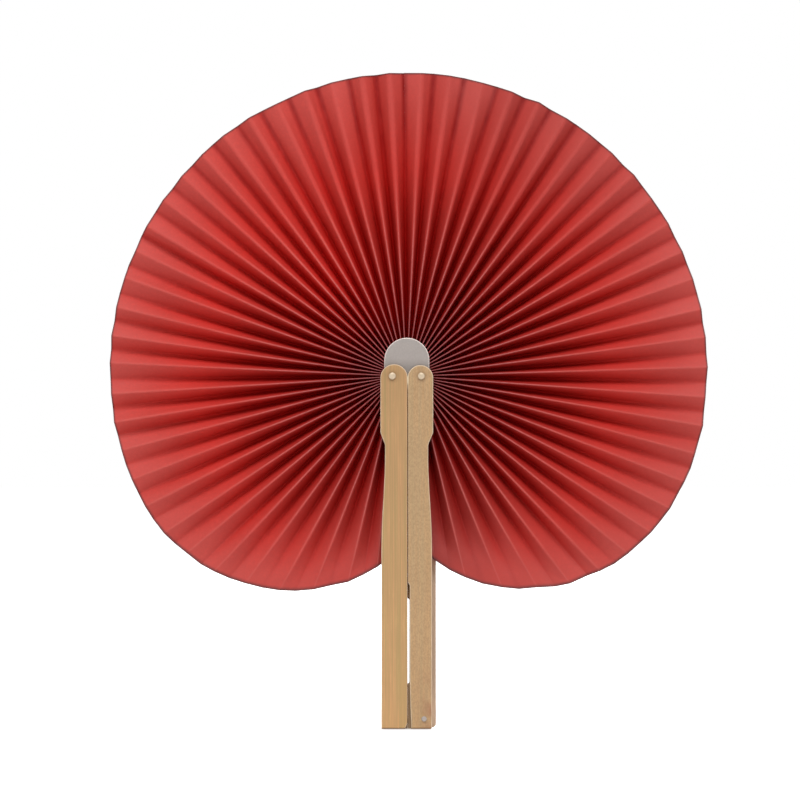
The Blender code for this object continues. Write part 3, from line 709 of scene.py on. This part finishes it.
def handleEdges(side, z, ply):
    # inner and outer u of a ply's outline at each height: an arch over the rivet, straight lines with rounded
    # corners below it, and the flare w + (g - w) t^2 (3 - 2t) from the waist w to the grip g
    s = handleShape
    innerU, outerU = s["innerU"][side], s["headOuterU"]
    end, above = -s["length"], 0.02  # every line goes on past both ends of the handle
    half = np.sqrt(np.maximum(0, ((outerU - innerU) / 2) ** 2 - np.maximum(0, z + s["archDrop"]) ** 2))
    waist, grip = s["waistU"][side], s["gripU"][side]
    if side > 0 and ply == "back":
        grip = s["backLedgeU"]
    t = np.linspace(0, 1, 25)
    flareZ = -s["flareTop"] - (s["flareBottom"] - s["flareTop"]) * t
    flareU = waist + (grip - waist) * t * t * (3 - 2 * t)
    head = [(above, outerU), (-s["headLength"], outerU), (-s["headLength"] - s["shoulderLength"], waist)]
    outer = softened(z, head + list(zip(flareZ, flareU)) + [(end - 0.01, grip)], s["soften"]["outer"])
    if side < 0:
        width, height = s["chamfer"] if ply == "front" else (0, mm)
        inner = innerU + np.interp(z, [end, end + height], [width, 0])
    else:
        corner = s["cornerRound"][ply]
        up = np.clip(z - end, 0, corner)
        outer = outer - corner + np.sqrt(corner ** 2 - (corner - up) ** 2)
        if ply == "front":
            keys = [(above, innerU)] + [(end + height * mm, u * mm) for height, u in s["rabbet"]]
            inner = softened(z, keys, s["soften"]["rabbet"])
        else:
            bottom, top, slope, hollow = s["relief"]
            inner = softened(z, [
                (above, innerU), (end + top, innerU), (end + top - slope, hollow),
                (end + bottom + slope, hollow), (end + bottom, innerU), (end - 0.01, innerU),
            ], s["soften"]["relief"])
    arch = z > -s["archDrop"]
    middle = (outerU + innerU) / 2
    return np.where(arch, middle - half, inner), np.where(arch, middle + half, outer)


def outlineGap(u, z, edgeU, edgeZ):
    # distance of each point to the closed outline, as the least distance to its straight pieces
    wayU, wayZ = np.roll(edgeU, -1) - edgeU, np.roll(edgeZ, -1) - edgeZ
    size = np.maximum(wayU ** 2 + wayZ ** 2, 1e-18)
    fromU, fromZ = u.reshape(-1, 1) - edgeU, z.reshape(-1, 1) - edgeZ
    t = np.clip((fromU * wayU + fromZ * wayZ) / size, 0, 1)
    return np.hypot(fromU - wayU * t, fromZ - wayZ * t).min(1).reshape(u.shape)


def plyLoops(z, inner, outer, yFace, yBack, rounding):
    # a flat ply as closed loops, one for each height: across its face, and back across its back. Within the
    # rounding r of the outline, a side drops by r - sqrt(r^2 - (r - gap)^2), with one r for each side
    edge = np.array([0.0, 0.03, 0.09, 0.18, 0.30, 0.45, 0.62]) * mm  # columns beside the outline,
    widest = (outer - inner)[:, None] * np.linspace(0, 0.36, len(edge))  # over this share of a ply at most
    fromIn, fromOut = (
        np.minimum(edge * np.sqrt(1 + np.gradient(line, z)[:, None] ** 2), widest) for line in (inner, outer)
    )
    left, right = inner[:, None] + fromIn, (outer[:, None] - fromOut)[:, ::-1]
    share = np.linspace(0, 1, 7)[1:-1]
    u = np.concatenate([left, left[:, -1:] + (right[:, :1] - left[:, -1:]) * share, right], axis=1)
    heights = np.repeat(z[:, None], u.shape[1], 1)
    gap = outlineGap(u, heights, np.concatenate([outer, inner[::-1]]), np.concatenate([z, z[::-1]]))
    layers = []
    for y, radius, inward in zip((yFace, yBack), rounding, np.sign([yBack - yFace, yFace - yBack])):
        drop = radius - np.sqrt(radius ** 2 - (radius - np.minimum(gap, radius)) ** 2)
        layers.append(np.stack([u, y + inward * drop, heights], -1))
    loops = np.concatenate([layers[0], layers[1][:, ::-1]], axis=1)
    return loops, np.concatenate([gap, gap[:, ::-1]], axis=1)


def pliesPiece(name, side, plies):
    # several plies as one object; a ply is its loops of (u, y, z from the rivets) and the outline's gaps
    points, faces, count = [], [], 0
    for loops, gap in plies:
        plyFaces = tubeFaces(*gap.shape, count)
        faces += [tuple(reversed(face)) for face in plyFaces] if side < 0 else plyFaces
        points.append((loops * np.array([side, 1, 1]) + np.array([0, 0, pivot])).reshape(-1, 3))
        count += gap.size
    gaps = np.concatenate([gap.ravel() for loops, gap in plies])
    return newPiece(name, np.concatenate(points), faces, {"edgeGap": gaps}, 32)


def corePlies(side, z):
    # the core: the channel's floor, which runs out in the slotting saw's curve, and the end block. Its middle
    # ply leaves the latch its slot
    s = handleShape
    inner, outer = handleEdges(side, z, "core")
    saw, slotHalf = s["sawRadius"], s["slotHalf"]
    start = math.sqrt(saw ** 2 - (saw - s["gripU"][side] + s["floorU"]) ** 2) - s["channelLength"]
    down = np.clip(start - z, 0, saw)
    floor = s["floorU"] + saw - np.sqrt(saw ** 2 - down ** 2)
    floor = np.minimum(np.where(down >= saw, 1.0, floor), outer)  # below the channel only the outline counts
    half = s["halfDepth"] - s["wall"]
    sideLayers = ((-half, -slotHalf), (slotHalf, half))
    plies = [plyLoops(z, inner, floor, low, high, (0, 0)) for low, high in sideLayers]
    slotTop, slotU = s["slotTop"][side] - s["length"], s["slotU"][side]
    upper = z > slotTop
    above, below = np.append(z[upper], slotTop), np.append(slotTop, z[~upper])
    for part, leastU in ((above, -1.0), (below, slotU)):
        partInner, partOuter = (np.interp(part[::-1], z[::-1], line[::-1])[::-1] for line in (inner, floor))
        plies.append(plyLoops(part, np.maximum(partInner, leastU), partOuter, -slotHalf, slotHalf, (0, 0)))
    return plies


def makeHandle(word, side):
    s = handleShape
    z = handleRows(side)
    face, wallBack, rounding = s["halfDepth"], s["halfDepth"] - s["wall"], (s["edgeRound"], 0)
    plies = [
        plyLoops(z, *handleEdges(side, z, "front"), -face, -wallBack, rounding),
        plyLoops(z, *handleEdges(side, z, "back"), face, wallBack, rounding),
        *corePlies(side, np.concatenate([[-s["earLength"]], z[z < -s["earLength"]]])),
    ]
    piece = pliesPiece(f"{word}_handle_bamboo", side, plies)
    piece.data.materials.append(makeBamboo(word, side))
    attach(piece, f"{word}_handle")
    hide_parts(f"{word}_handle")


# the stripes' scale and stretch, the ramp's places of their three tones, cover, stretch and amount of the
# dark flecks, and how light the handle is at its end and at the rivet
bambooColour = {
    "left": {
        "tan": (0.540, 0.318, 0.135), "orange": (0.645, 0.345, 0.150), "olive": (0.445, 0.305, 0.118),
        "dark": (0.300, 0.170, 0.070), "stripe": 1000.0, "length": 0.008,
        "bands": (0.34, 0.43, 0.50, 0.57, 0.66),
        "flecks": 0.050, "fleckStretch": 0.10, "fleckMix": 0.25, "lengthTone": (1.16, 0.88),
    },
    "right": {
        "tan": (0.555, 0.362, 0.183), "orange": (0.570, 0.335, 0.154), "olive": (0.490, 0.330, 0.158),
        "dark": (0.330, 0.195, 0.095), "stripe": 520.0, "length": 0.014,
        "bands": (0.30, 0.42, 0.50, 0.60, 0.72),
        "flecks": 0.210, "fleckStretch": 0.60, "fleckMix": 0.45, "lengthTone": (0.985, 0.865),
    },
}
bambooMarks = {
    # colour and amount
    # edges lighter: sanded wear and a painted highlight
    "edgeWearAndHighlight": ((0.88, 0.72, 0.54), 0.75),
    "seam": ((0.165, 0.070, 0.008), 0.92),  # a painted shadow in the groove between both handles
    "seamTop": ((0.90, 0.78, 0.56), 0.85),  # a painted glint at its lit upper end, between the heads
    # darker along the bottom edges
    "bottomEdgeDark": ((0.165, 0.070, 0.008), 0.85),
    "litBackStrip": ((0.590, 0.425, 0.305), 0.90),  # painted light on the right handle's back wall beside the front one
    "blotch": ((0.330, 0.150, 0.075), 0.75),
    "inside": (0.270, 0.190, 0.120),  # painted shadow on the core seen through the rabbet, its darker top, and the amount
    "insideTop": (0.085, 0.038, 0.012),
    "insideAmount": 0.90,
    "ringAmount": 0.55,  # of the dark tone round the rivet, and at the end
    "endAmount": 0.45,
    "stripeDepth": 0.4,  # how fast the stripes change through the handle's depth
    "drift": (30.0, 0.10),  # scale and amount
    "fibre": (0.03, 1500.0, 0.14),  # stretch along the handle, scale and cover
    "fibreShade": (0.72, 0.35),  # share of the tan, and amount
    "fleckScale": 1900.0,
    "blotchCloud": (160.0, 4.0),  # scale and detail, and the values from which and to which it covers
    "blotchCover": (0.38, 0.62),
    # places: u, depth to either side, y, and heights from the end or from the rivet
    "edgeLine": (0.5 * mm, 300.0, 0.4),  # width, scale and breakup
    "rivetRing": (1.5 * mm, 2.2 * mm),
    "blotchU": (3 * mm, 10 * mm),
    "blotchUp": (30 * mm, 8 * mm),
    "faceDepth": (5.4 * mm, 5.7 * mm),
    "bottomEdgeDepth": (5.4 * mm, 5.8 * mm),
    "seamWidth": 0.18 * mm,
    "seamSoft": 0.12 * mm,
    "seamRun": (-2 * mm, -7 * mm, 5 * mm),  # from the rabbet's top, to the rivet, soft
    "seamTopRun": (-2 * mm, 4 * mm, 2 * mm),
    "seamBelow": (0.90, 0.5 * mm),  # how much of it goes on down the left handle, and where that fades
    "endUp": (0.35 * mm, 0.25 * mm),  # height and softness
    "insideU": (2.1 * mm, 0.1 * mm),  # to, and softness
    "darkTop": (-2 * mm, -1.5 * mm),  # from the relief's top
    "insideY": ((-5.2 * mm, -4.75 * mm), (-4.5 * mm, -4.6 * mm)),
    "stripU": (10.5 * mm, 10.6 * mm),
    "stripY": (4.4 * mm, 4.6 * mm),
    "roughness": (0.4, 1.0, 0.42, 0.62),
    "bump": (0.22, 0.12 * mm),
    "gloss": 0.5,  # none in the seam's painted shadow, on the dark bottom edges and in the rabbet's painted shadow
}


def makeBamboo(word, side):
    c, m, s = bambooColour[word], bambooMarks, handleShape
    material, tree, shader, place = newMaterial(f"{word}Bamboo", c["tan"])
    # stripes along the handle: noise stretched by 1 / length, its value read through a ramp of three tones
    stripes = noise(tree, stretched(tree, place, 1.0, m["stripeDepth"], c["length"]), c["stripe"], 2.0)
    ramp = addNode(tree, "ShaderNodeValToRGB", {0: stripes})
    for index, (at, tone) in enumerate(zip(c["bands"], ("olive", "tan", "orange", "tan", "olive"))):
        stop = ramp.color_ramp.elements[index] if index < 2 else ramp.color_ramp.elements.new(at)
        stop.position = at
        stop.color = (*c[tone], 1)
    toned = drifted(tree, ramp.outputs[0], place, *m["drift"])
    length, scale, cover = m["fibre"]
    fibres = grained(tree, stretched(tree, place, 1.0, 1.0, length), scale, cover)
    shade, amount = m["fibreShade"]
    fibred = painted(tree, toned, darker(c["tan"], shade), amount, fibres["Specks"])
    fleckPlace = stretched(tree, place, 1.0, 1.0, c["fleckStretch"])
    flecks = grained(tree, fleckPlace, m["fleckScale"], c["flecks"])
    base = painted(tree, fibred, c["dark"], c["fleckMix"], flecks["Specks"])

    # marks by place
    x, y, z = addNode(tree, "ShaderNodeSeparateXYZ", {0: place}).outputs
    u = maths(tree, "MULTIPLY", x, float(side))
    depth = maths(tree, "ABSOLUTE", y)
    end = pivot - s["length"]
    base = scaled(tree, base, mapped(tree, z, end, pivot, *c["lengthTone"]))
    if side > 0:
        top, bottom = m["blotchUp"]
        cloud = noise(tree, place, *m["blotchCloud"])
        blotch = rising(tree, (u, *m["blotchU"]), (z, end + top, end + bottom), (cloud, *m["blotchCover"]))
        base = painted(tree, base, *m["blotch"], blotch)
    # edges lighter: sanded wear and a painted highlight
    base = painted(tree, base, *m["edgeWearAndHighlight"], worn(tree, markOf(tree, "edgeGap"), place, *m["edgeLine"]))
    flat = stretched(tree, place, 1.0, 0.0, 1.0)
    reach = addNode(tree, "ShaderNodeVectorMath", {0: flat, 1: (side * leafShape["rivetU"], 0.0, pivot)},
                    operation="DISTANCE").outputs["Value"]
    base = painted(tree, base, c["dark"], m["ringAmount"], between(tree, reach, 0.0, *m["rivetRing"]))

    # painted shadow in the seam on the front and back faces, from the rabbet to the heads, and on down the
    # left handle, and a painted glint at its top, between the heads
    seamLine = timesAll(tree, between(tree, u, -mm, s["innerU"][side] + m["seamWidth"], m["seamSoft"]),
                        mapped(tree, depth, *m["faceDepth"]))
    rabbetTop = end + s["rabbet"][0][0] * mm
    low, high, soft = m["seamRun"]
    along = between(tree, z, rabbetTop + low, pivot + high, soft)
    if side < 0:
        amount, fade = m["seamBelow"]
        below = mapped(tree, z, rabbetTop + low, rabbetTop + low + fade, amount, 0.0)
        along = maths(tree, "MAXIMUM", along, below)
    seam = timesAll(tree, seamLine, along)
    base = painted(tree, base, *m["seam"], seam)
    low, high, soft = m["seamTopRun"]
    seamTop = timesAll(tree, seamLine, between(tree, z, pivot + low, pivot + high, soft))
    base = painted(tree, base, *m["seamTop"], seamTop)

    # the end, darker at its foot and along its bottom edges, and a painted shadow on the core behind the
    # rabbet or the chamfer
    up, soft = m["endUp"]
    lowEnd = between(tree, z, end - mm, end + up, soft)
    base = painted(tree, base, c["dark"], m["endAmount"], lowEnd)
    bottomEdgeDark = timesAll(tree, lowEnd, mapped(tree, depth, *m["bottomEdgeDepth"]))
    base = painted(tree, base, *m["bottomEdgeDark"], bottomEdgeDark)
    coreTop = rabbetTop if side > 0 else end + s["chamfer"][1]
    inside = timesAll(tree, between(tree, u, -mm, *m["insideU"]),
                      rising(tree, *((y, *run) for run in m["insideY"])),
                      between(tree, z, end, coreTop, mm))
    reliefTop = end + s["relief"][1]
    darkTop = mapped(tree, z, *(reliefTop + above for above in m["darkTop"]))
    insideTone = mixed(tree, darkTop, m["inside"], m["insideTop"])
    base = painted(tree, base, insideTone, m["insideAmount"], inside)
    # painted light on the right handle's back wall beside the front one
    if side > 0:
        base = painted(tree, base, *m["litBackStrip"], rising(tree, (u, *m["stripU"]), (y, *m["stripY"])))
    dull = maths(tree, "MAXIMUM", maths(tree, "MAXIMUM", seam, bottomEdgeDark), inside)
    gloss = mapped(tree, dull, 0, 1, m["gloss"], 0.0)
    more = {"Specular IOR Level": gloss}
    surfaced(tree, shader, base, fibres["Height"], m["roughness"], m["bump"], more)
    return material


plateShape = {
    "halfWidth": 9.4 * mm, "rise": 15.9 * mm, "foot": 4.5 * mm, "corner": 1.5 * mm,
    "innerY": 3.815 * mm, "outerY": 4.415 * mm, "edgeRound": 0.22 * mm,
}
rivetShape = {
    "radius": 1.0 * mm, "headRadius": 1.5 * mm, "rise": 0.62 * mm, "under": 6.415 * mm, "rim": 0.10 * mm,
}
pinShape = {
    "radius": 0.75 * mm, "headRadius": 1.1 * mm, "rise": 0.32 * mm, "under": 6.415 * mm, "rim": 0.06 * mm,
    "u": 7.2 * mm, "belowRivets": 142.8 * mm,
}
headForm = {
    "domeSteps": 10,
    "around": 40,
    # the underside's share of the radius, the rim's height over the face below, and how deep it sits in it
    "tuck": (0.97, 0.02 * mm, 0.06 * mm),
}
metalFinish = {
    # colour, its edges' colour (worn, and with a painted highlight on the plate's rim), roughness, the
    # grain's scale, how metallic, and the width of the worn edges
    "mattSteel": ((0.332, 0.294, 0.272), (0.92, 0.80, 0.74), 0.55, 1400.0, 0.35, 0.48 * mm),
    "paleBrass": ((0.540, 0.430, 0.300), (0.400, 0.290, 0.180), 0.45, 900.0, 0.4, 0.32 * mm),
    "pinSteel": ((0.38, 0.33, 0.30), (0.34, 0.29, 0.26), 0.50, 900.0, 0.4, 0.32 * mm),
}
metalWear = {  # the same for all three
    "drift": (140.0, 0.08),  # scale and amount
    "cover": 0.16,  # of the specks
    "speck": (0.7, 0.25),  # share of the metal's colour, and amount
    "edge": (500.0, 0.3),  # scale and breakup of the worn edges
    "rough": (0.5, 1.0, -0.07, 0.08),  # the grain's heights from and to, and what the roughness gains there
    "bump": (0.2, 0.04 * mm),
}
plateShadow = (2.5 * mm, 8 * mm, 0.60, 0.5)  # painted shadow: darker at and above the rivets, where the heads stand over it


def makePlates(steel):
    # the outline's half width at a height: a half circle above, straight sides, and small round corners below
    s = plateShape
    width, corner, foot = s["halfWidth"], s["corner"], -s["foot"]
    centre = s["rise"] - width
    turn = np.radians(np.concatenate([[1.5, 3.5, 6.0, 9.0], np.linspace(12, 90, 24)]))
    z = np.unique(np.round(np.concatenate([
        centre + width * np.cos(turn), np.linspace(centre - mm, foot + corner, 8),
        foot + corner * (1 - np.sin(np.radians(np.linspace(0, 88, 9)))),
    ]), 8))[::-1]
    half = np.where(z > centre, np.sqrt(np.maximum(0, width ** 2 - np.maximum(0, z - centre) ** 2)), width)
    half = half - corner + np.sqrt(corner ** 2 - np.clip(foot + corner - z, 0, corner) ** 2)
    rounding = (s["edgeRound"], s["edgeRound"])
    for word, sense in (("front", -1), ("back", 1)):
        ply = plyLoops(z, -half, half, sense * s["outerY"], sense * s["innerY"], rounding)
        piece = pliesPiece(f"{word}_plate_steel", 1, [ply])
        piece.data.materials.append(steel)
        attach(piece, "bridge")
        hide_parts(f"{word}_plate")


def headedPin(name, shape, x, z):
    # a profile of radius and depth turned round the pin: a low dome over a thin rim, the shank, and the same
    # head again at the back
    head, under, rim = shape["headRadius"], shape["under"], shape["rim"]
    share, over, sunk = headForm["tuck"]
    turn = np.radians(np.linspace(3, 90, headForm["domeSteps"]))
    radius = np.concatenate([head * np.sin(turn), [head, head * share, shape["radius"]]])
    depth = np.concatenate([under + rim + (shape["rise"] - rim) * np.cos(turn),
                            [under + over, under - sunk, under - sunk]])
    profileR = np.concatenate([radius, radius[::-1]])[:, None]
    profileY = np.concatenate([-depth, depth[::-1]])[:, None]
    angle = np.linspace(0, 2 * math.pi, headForm["around"], endpoint=False)
    loops = np.stack([
        x + profileR * np.cos(angle), np.broadcast_to(profileY, (len(profileY), len(angle))),
        z + profileR * np.sin(angle),
    ], -1)
    gap = np.broadcast_to(head - profileR, loops.shape[:2])
    return newPiece(name, loops.reshape(-1, 3), tubeFaces(*gap.shape), {"edgeGap": gap}, 40)


def makeMetal(name, shade=None):
    # shade: a painted shadow, as heights above the rivets from and to, the amount at the lower one, and the
    # share of the colour
    colour, bright, roughness, scale, metallic, edge = metalFinish[name]
    wear = metalWear
    material, tree, shader, place = newMaterial(name, colour)
    grain = grained(tree, place, scale, wear["cover"])
    share, amount = wear["speck"]
    toned = drifted(tree, colour, place, *wear["drift"])
    toned = painted(tree, toned, darker(colour, share), amount, grain["Specks"])
    # the edges: worn, and on the plate a painted highlight along its rim
    edged = mixed(tree, worn(tree, markOf(tree, "edgeGap"), place, edge, *wear["edge"]), toned, bright)
    if shade:
        low, high, amount, share = shade
        height = addNode(tree, "ShaderNodeSeparateXYZ", {0: place}).outputs[2]
        shadow = mapped(tree, height, pivot + low, pivot + high, amount, 0.0, smooth=True)
        edged = mixed(tree, shadow, edged, darker(colour, share))
    low, high, less, more = wear["rough"]
    rough = (low, high, roughness + less, roughness + more)
    surfaced(tree, shader, edged, grain["Height"], rough, wear["bump"], {"Metallic": metallic})
    return material


def makeFittings():
    makePlates(makeMetal("mattSteel", plateShadow))
    brass, pinSteel = makeMetal("paleBrass"), makeMetal("pinSteel")
    for word, side in sides:
        rivet = headedPin(f"{word}_rivet_head", rivetShape, side * leafShape["rivetU"], pivot)
        rivet.data.materials.append(brass)
        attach(rivet, "bridge")
        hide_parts(f"{word}_rivet")
    pin = headedPin("latch_pin_head", pinShape, pinShape["u"], pivot - pinShape["belowRivets"])
    pin.data.materials.append(pinSteel)
    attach(pin, "right_handle")
    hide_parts("latch_pin")
    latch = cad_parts["latch"]
    latch.data.materials.clear()
    latch.data.materials.append(pinSteel)
    print("plates, rivets and latch: done")


stageShape = {
    "middleX": -2.84 * mm, "middleZ": 85.0 * mm, "distance": 2.2, "viewWidth": 334.1 * mm,
    "lights": (  # name, place, size, watts
        ("topFront", (0.0, -1.2, 1.85), (1.4, 0.9), 40.0),
        ("frontLeft", (-1.5, -1.7, 0.3), (1.2, 1.2), 3.5),
        ("frontRight", (1.5, -1.7, 0.3), (1.2, 1.2), 3.5),
        ("topBack", (0.0, 1.3, 1.6), (1.4, 0.9), 24.0),
        ("backFill", (0.4, 2.0, 0.5), (1.2, 1.2), 6.0),
    ),
    "aim": (0, 0, 0.09),
    "worldLight": 0.17,
    "floorZ": -52.6 * mm,
    "floorHalf": 6.0,
    "floorGlow": (0.25, 1.4, 0.74, 1.0),  # distances from the fan, and the glow there: less leaves a shadow
}


def seenBy(tree, *rays):
    # 1 where a ray is of one of these kinds, and 0 for the light that falls on the fan
    path = tree.nodes.new("ShaderNodeLightPath").outputs
    seen = path[rays[0]]
    for ray in rays[1:]:
        seen = maths(tree, "MAXIMUM", seen, path[ray])
    return seen


def makeStage():
    s = stageShape
    scene = bpy.context.scene
    scene.view_settings.view_transform = "Standard"
    camera = bpy.data.cameras.new("camera")
    camera.lens = camera.sensor_width * s["distance"] / s["viewWidth"]
    camera.clip_start = 0.05
    camera.clip_end = 50
    scene.camera = addObject("camera", camera, (s["middleX"], -s["distance"], s["middleZ"]))
    scene.camera.rotation_euler = (math.radians(90), 0, 0)

    for name, place, (width, height), power in s["lights"]:
        lamp = bpy.data.lights.new(name, "AREA")
        lamp.shape = "RECTANGLE"
        lamp.size, lamp.size_y, lamp.energy = width, height, power
        toFan = Vector(s["aim"]) - Vector(place)
        addObject(name, lamp, place).rotation_euler = toFan.to_track_quat("-Z", "Y").to_euler()

    world = bpy.data.worlds.new("studio")
    scene.world = world
    world.use_nodes = True
    tree = world.node_tree
    seen = seenBy(tree, "Is Camera Ray", "Is Glossy Ray", "Is Transmission Ray")
    strength = mapped(tree, seen, 0, 1, s["worldLight"], 1.0)
    fill(tree, tree.nodes["Background"], {"Color": (1, 1, 1), "Strength": strength})

    # the floor renders white where the camera looks at it, and keeps a soft shadow
    half = s["floorHalf"]
    corners = [(x, y, s["floorZ"]) for x, y in ((-half, -half), (half, -half), (half, half), (-half, half))]
    mesh = bpy.data.meshes.new("floor")
    mesh.from_pydata(corners, [], [(0, 1, 2, 3)])
    paint = bpy.data.materials.new("floorPaint")
    paint.use_nodes = True
    tree = paint.node_tree
    tree.nodes.clear()
    place = tree.nodes.new("ShaderNodeTexCoord").outputs["Object"]
    away = addNode(tree, "ShaderNodeVectorMath", {0: place}, operation="LENGTH").outputs["Value"]
    level = mapped(tree, away, *s["floorGlow"], smooth=True)
    strength = maths(tree, "MULTIPLY", seenBy(tree, "Is Camera Ray", "Is Glossy Ray"), level)
    glow = addNode(tree, "ShaderNodeEmission", {"Color": (1, 1, 1), "Strength": strength})
    dull = addNode(tree, "ShaderNodeBsdfDiffuse", {"Color": (0.9, 0.9, 0.9)})
    both = addNode(tree, "ShaderNodeAddShader", {0: dull.outputs[0], 1: glow.outputs[0]})
    addNode(tree, "ShaderNodeOutputMaterial", {"Surface": both.outputs[0]})
    mesh.materials.append(paint)
    floor = addObject("floor", mesh)
    print("stage: done")


makeStage()
makeLeaf()
for word, side in sides:
    makeHandle(word, side)
print("handles: done")
makeFittings()
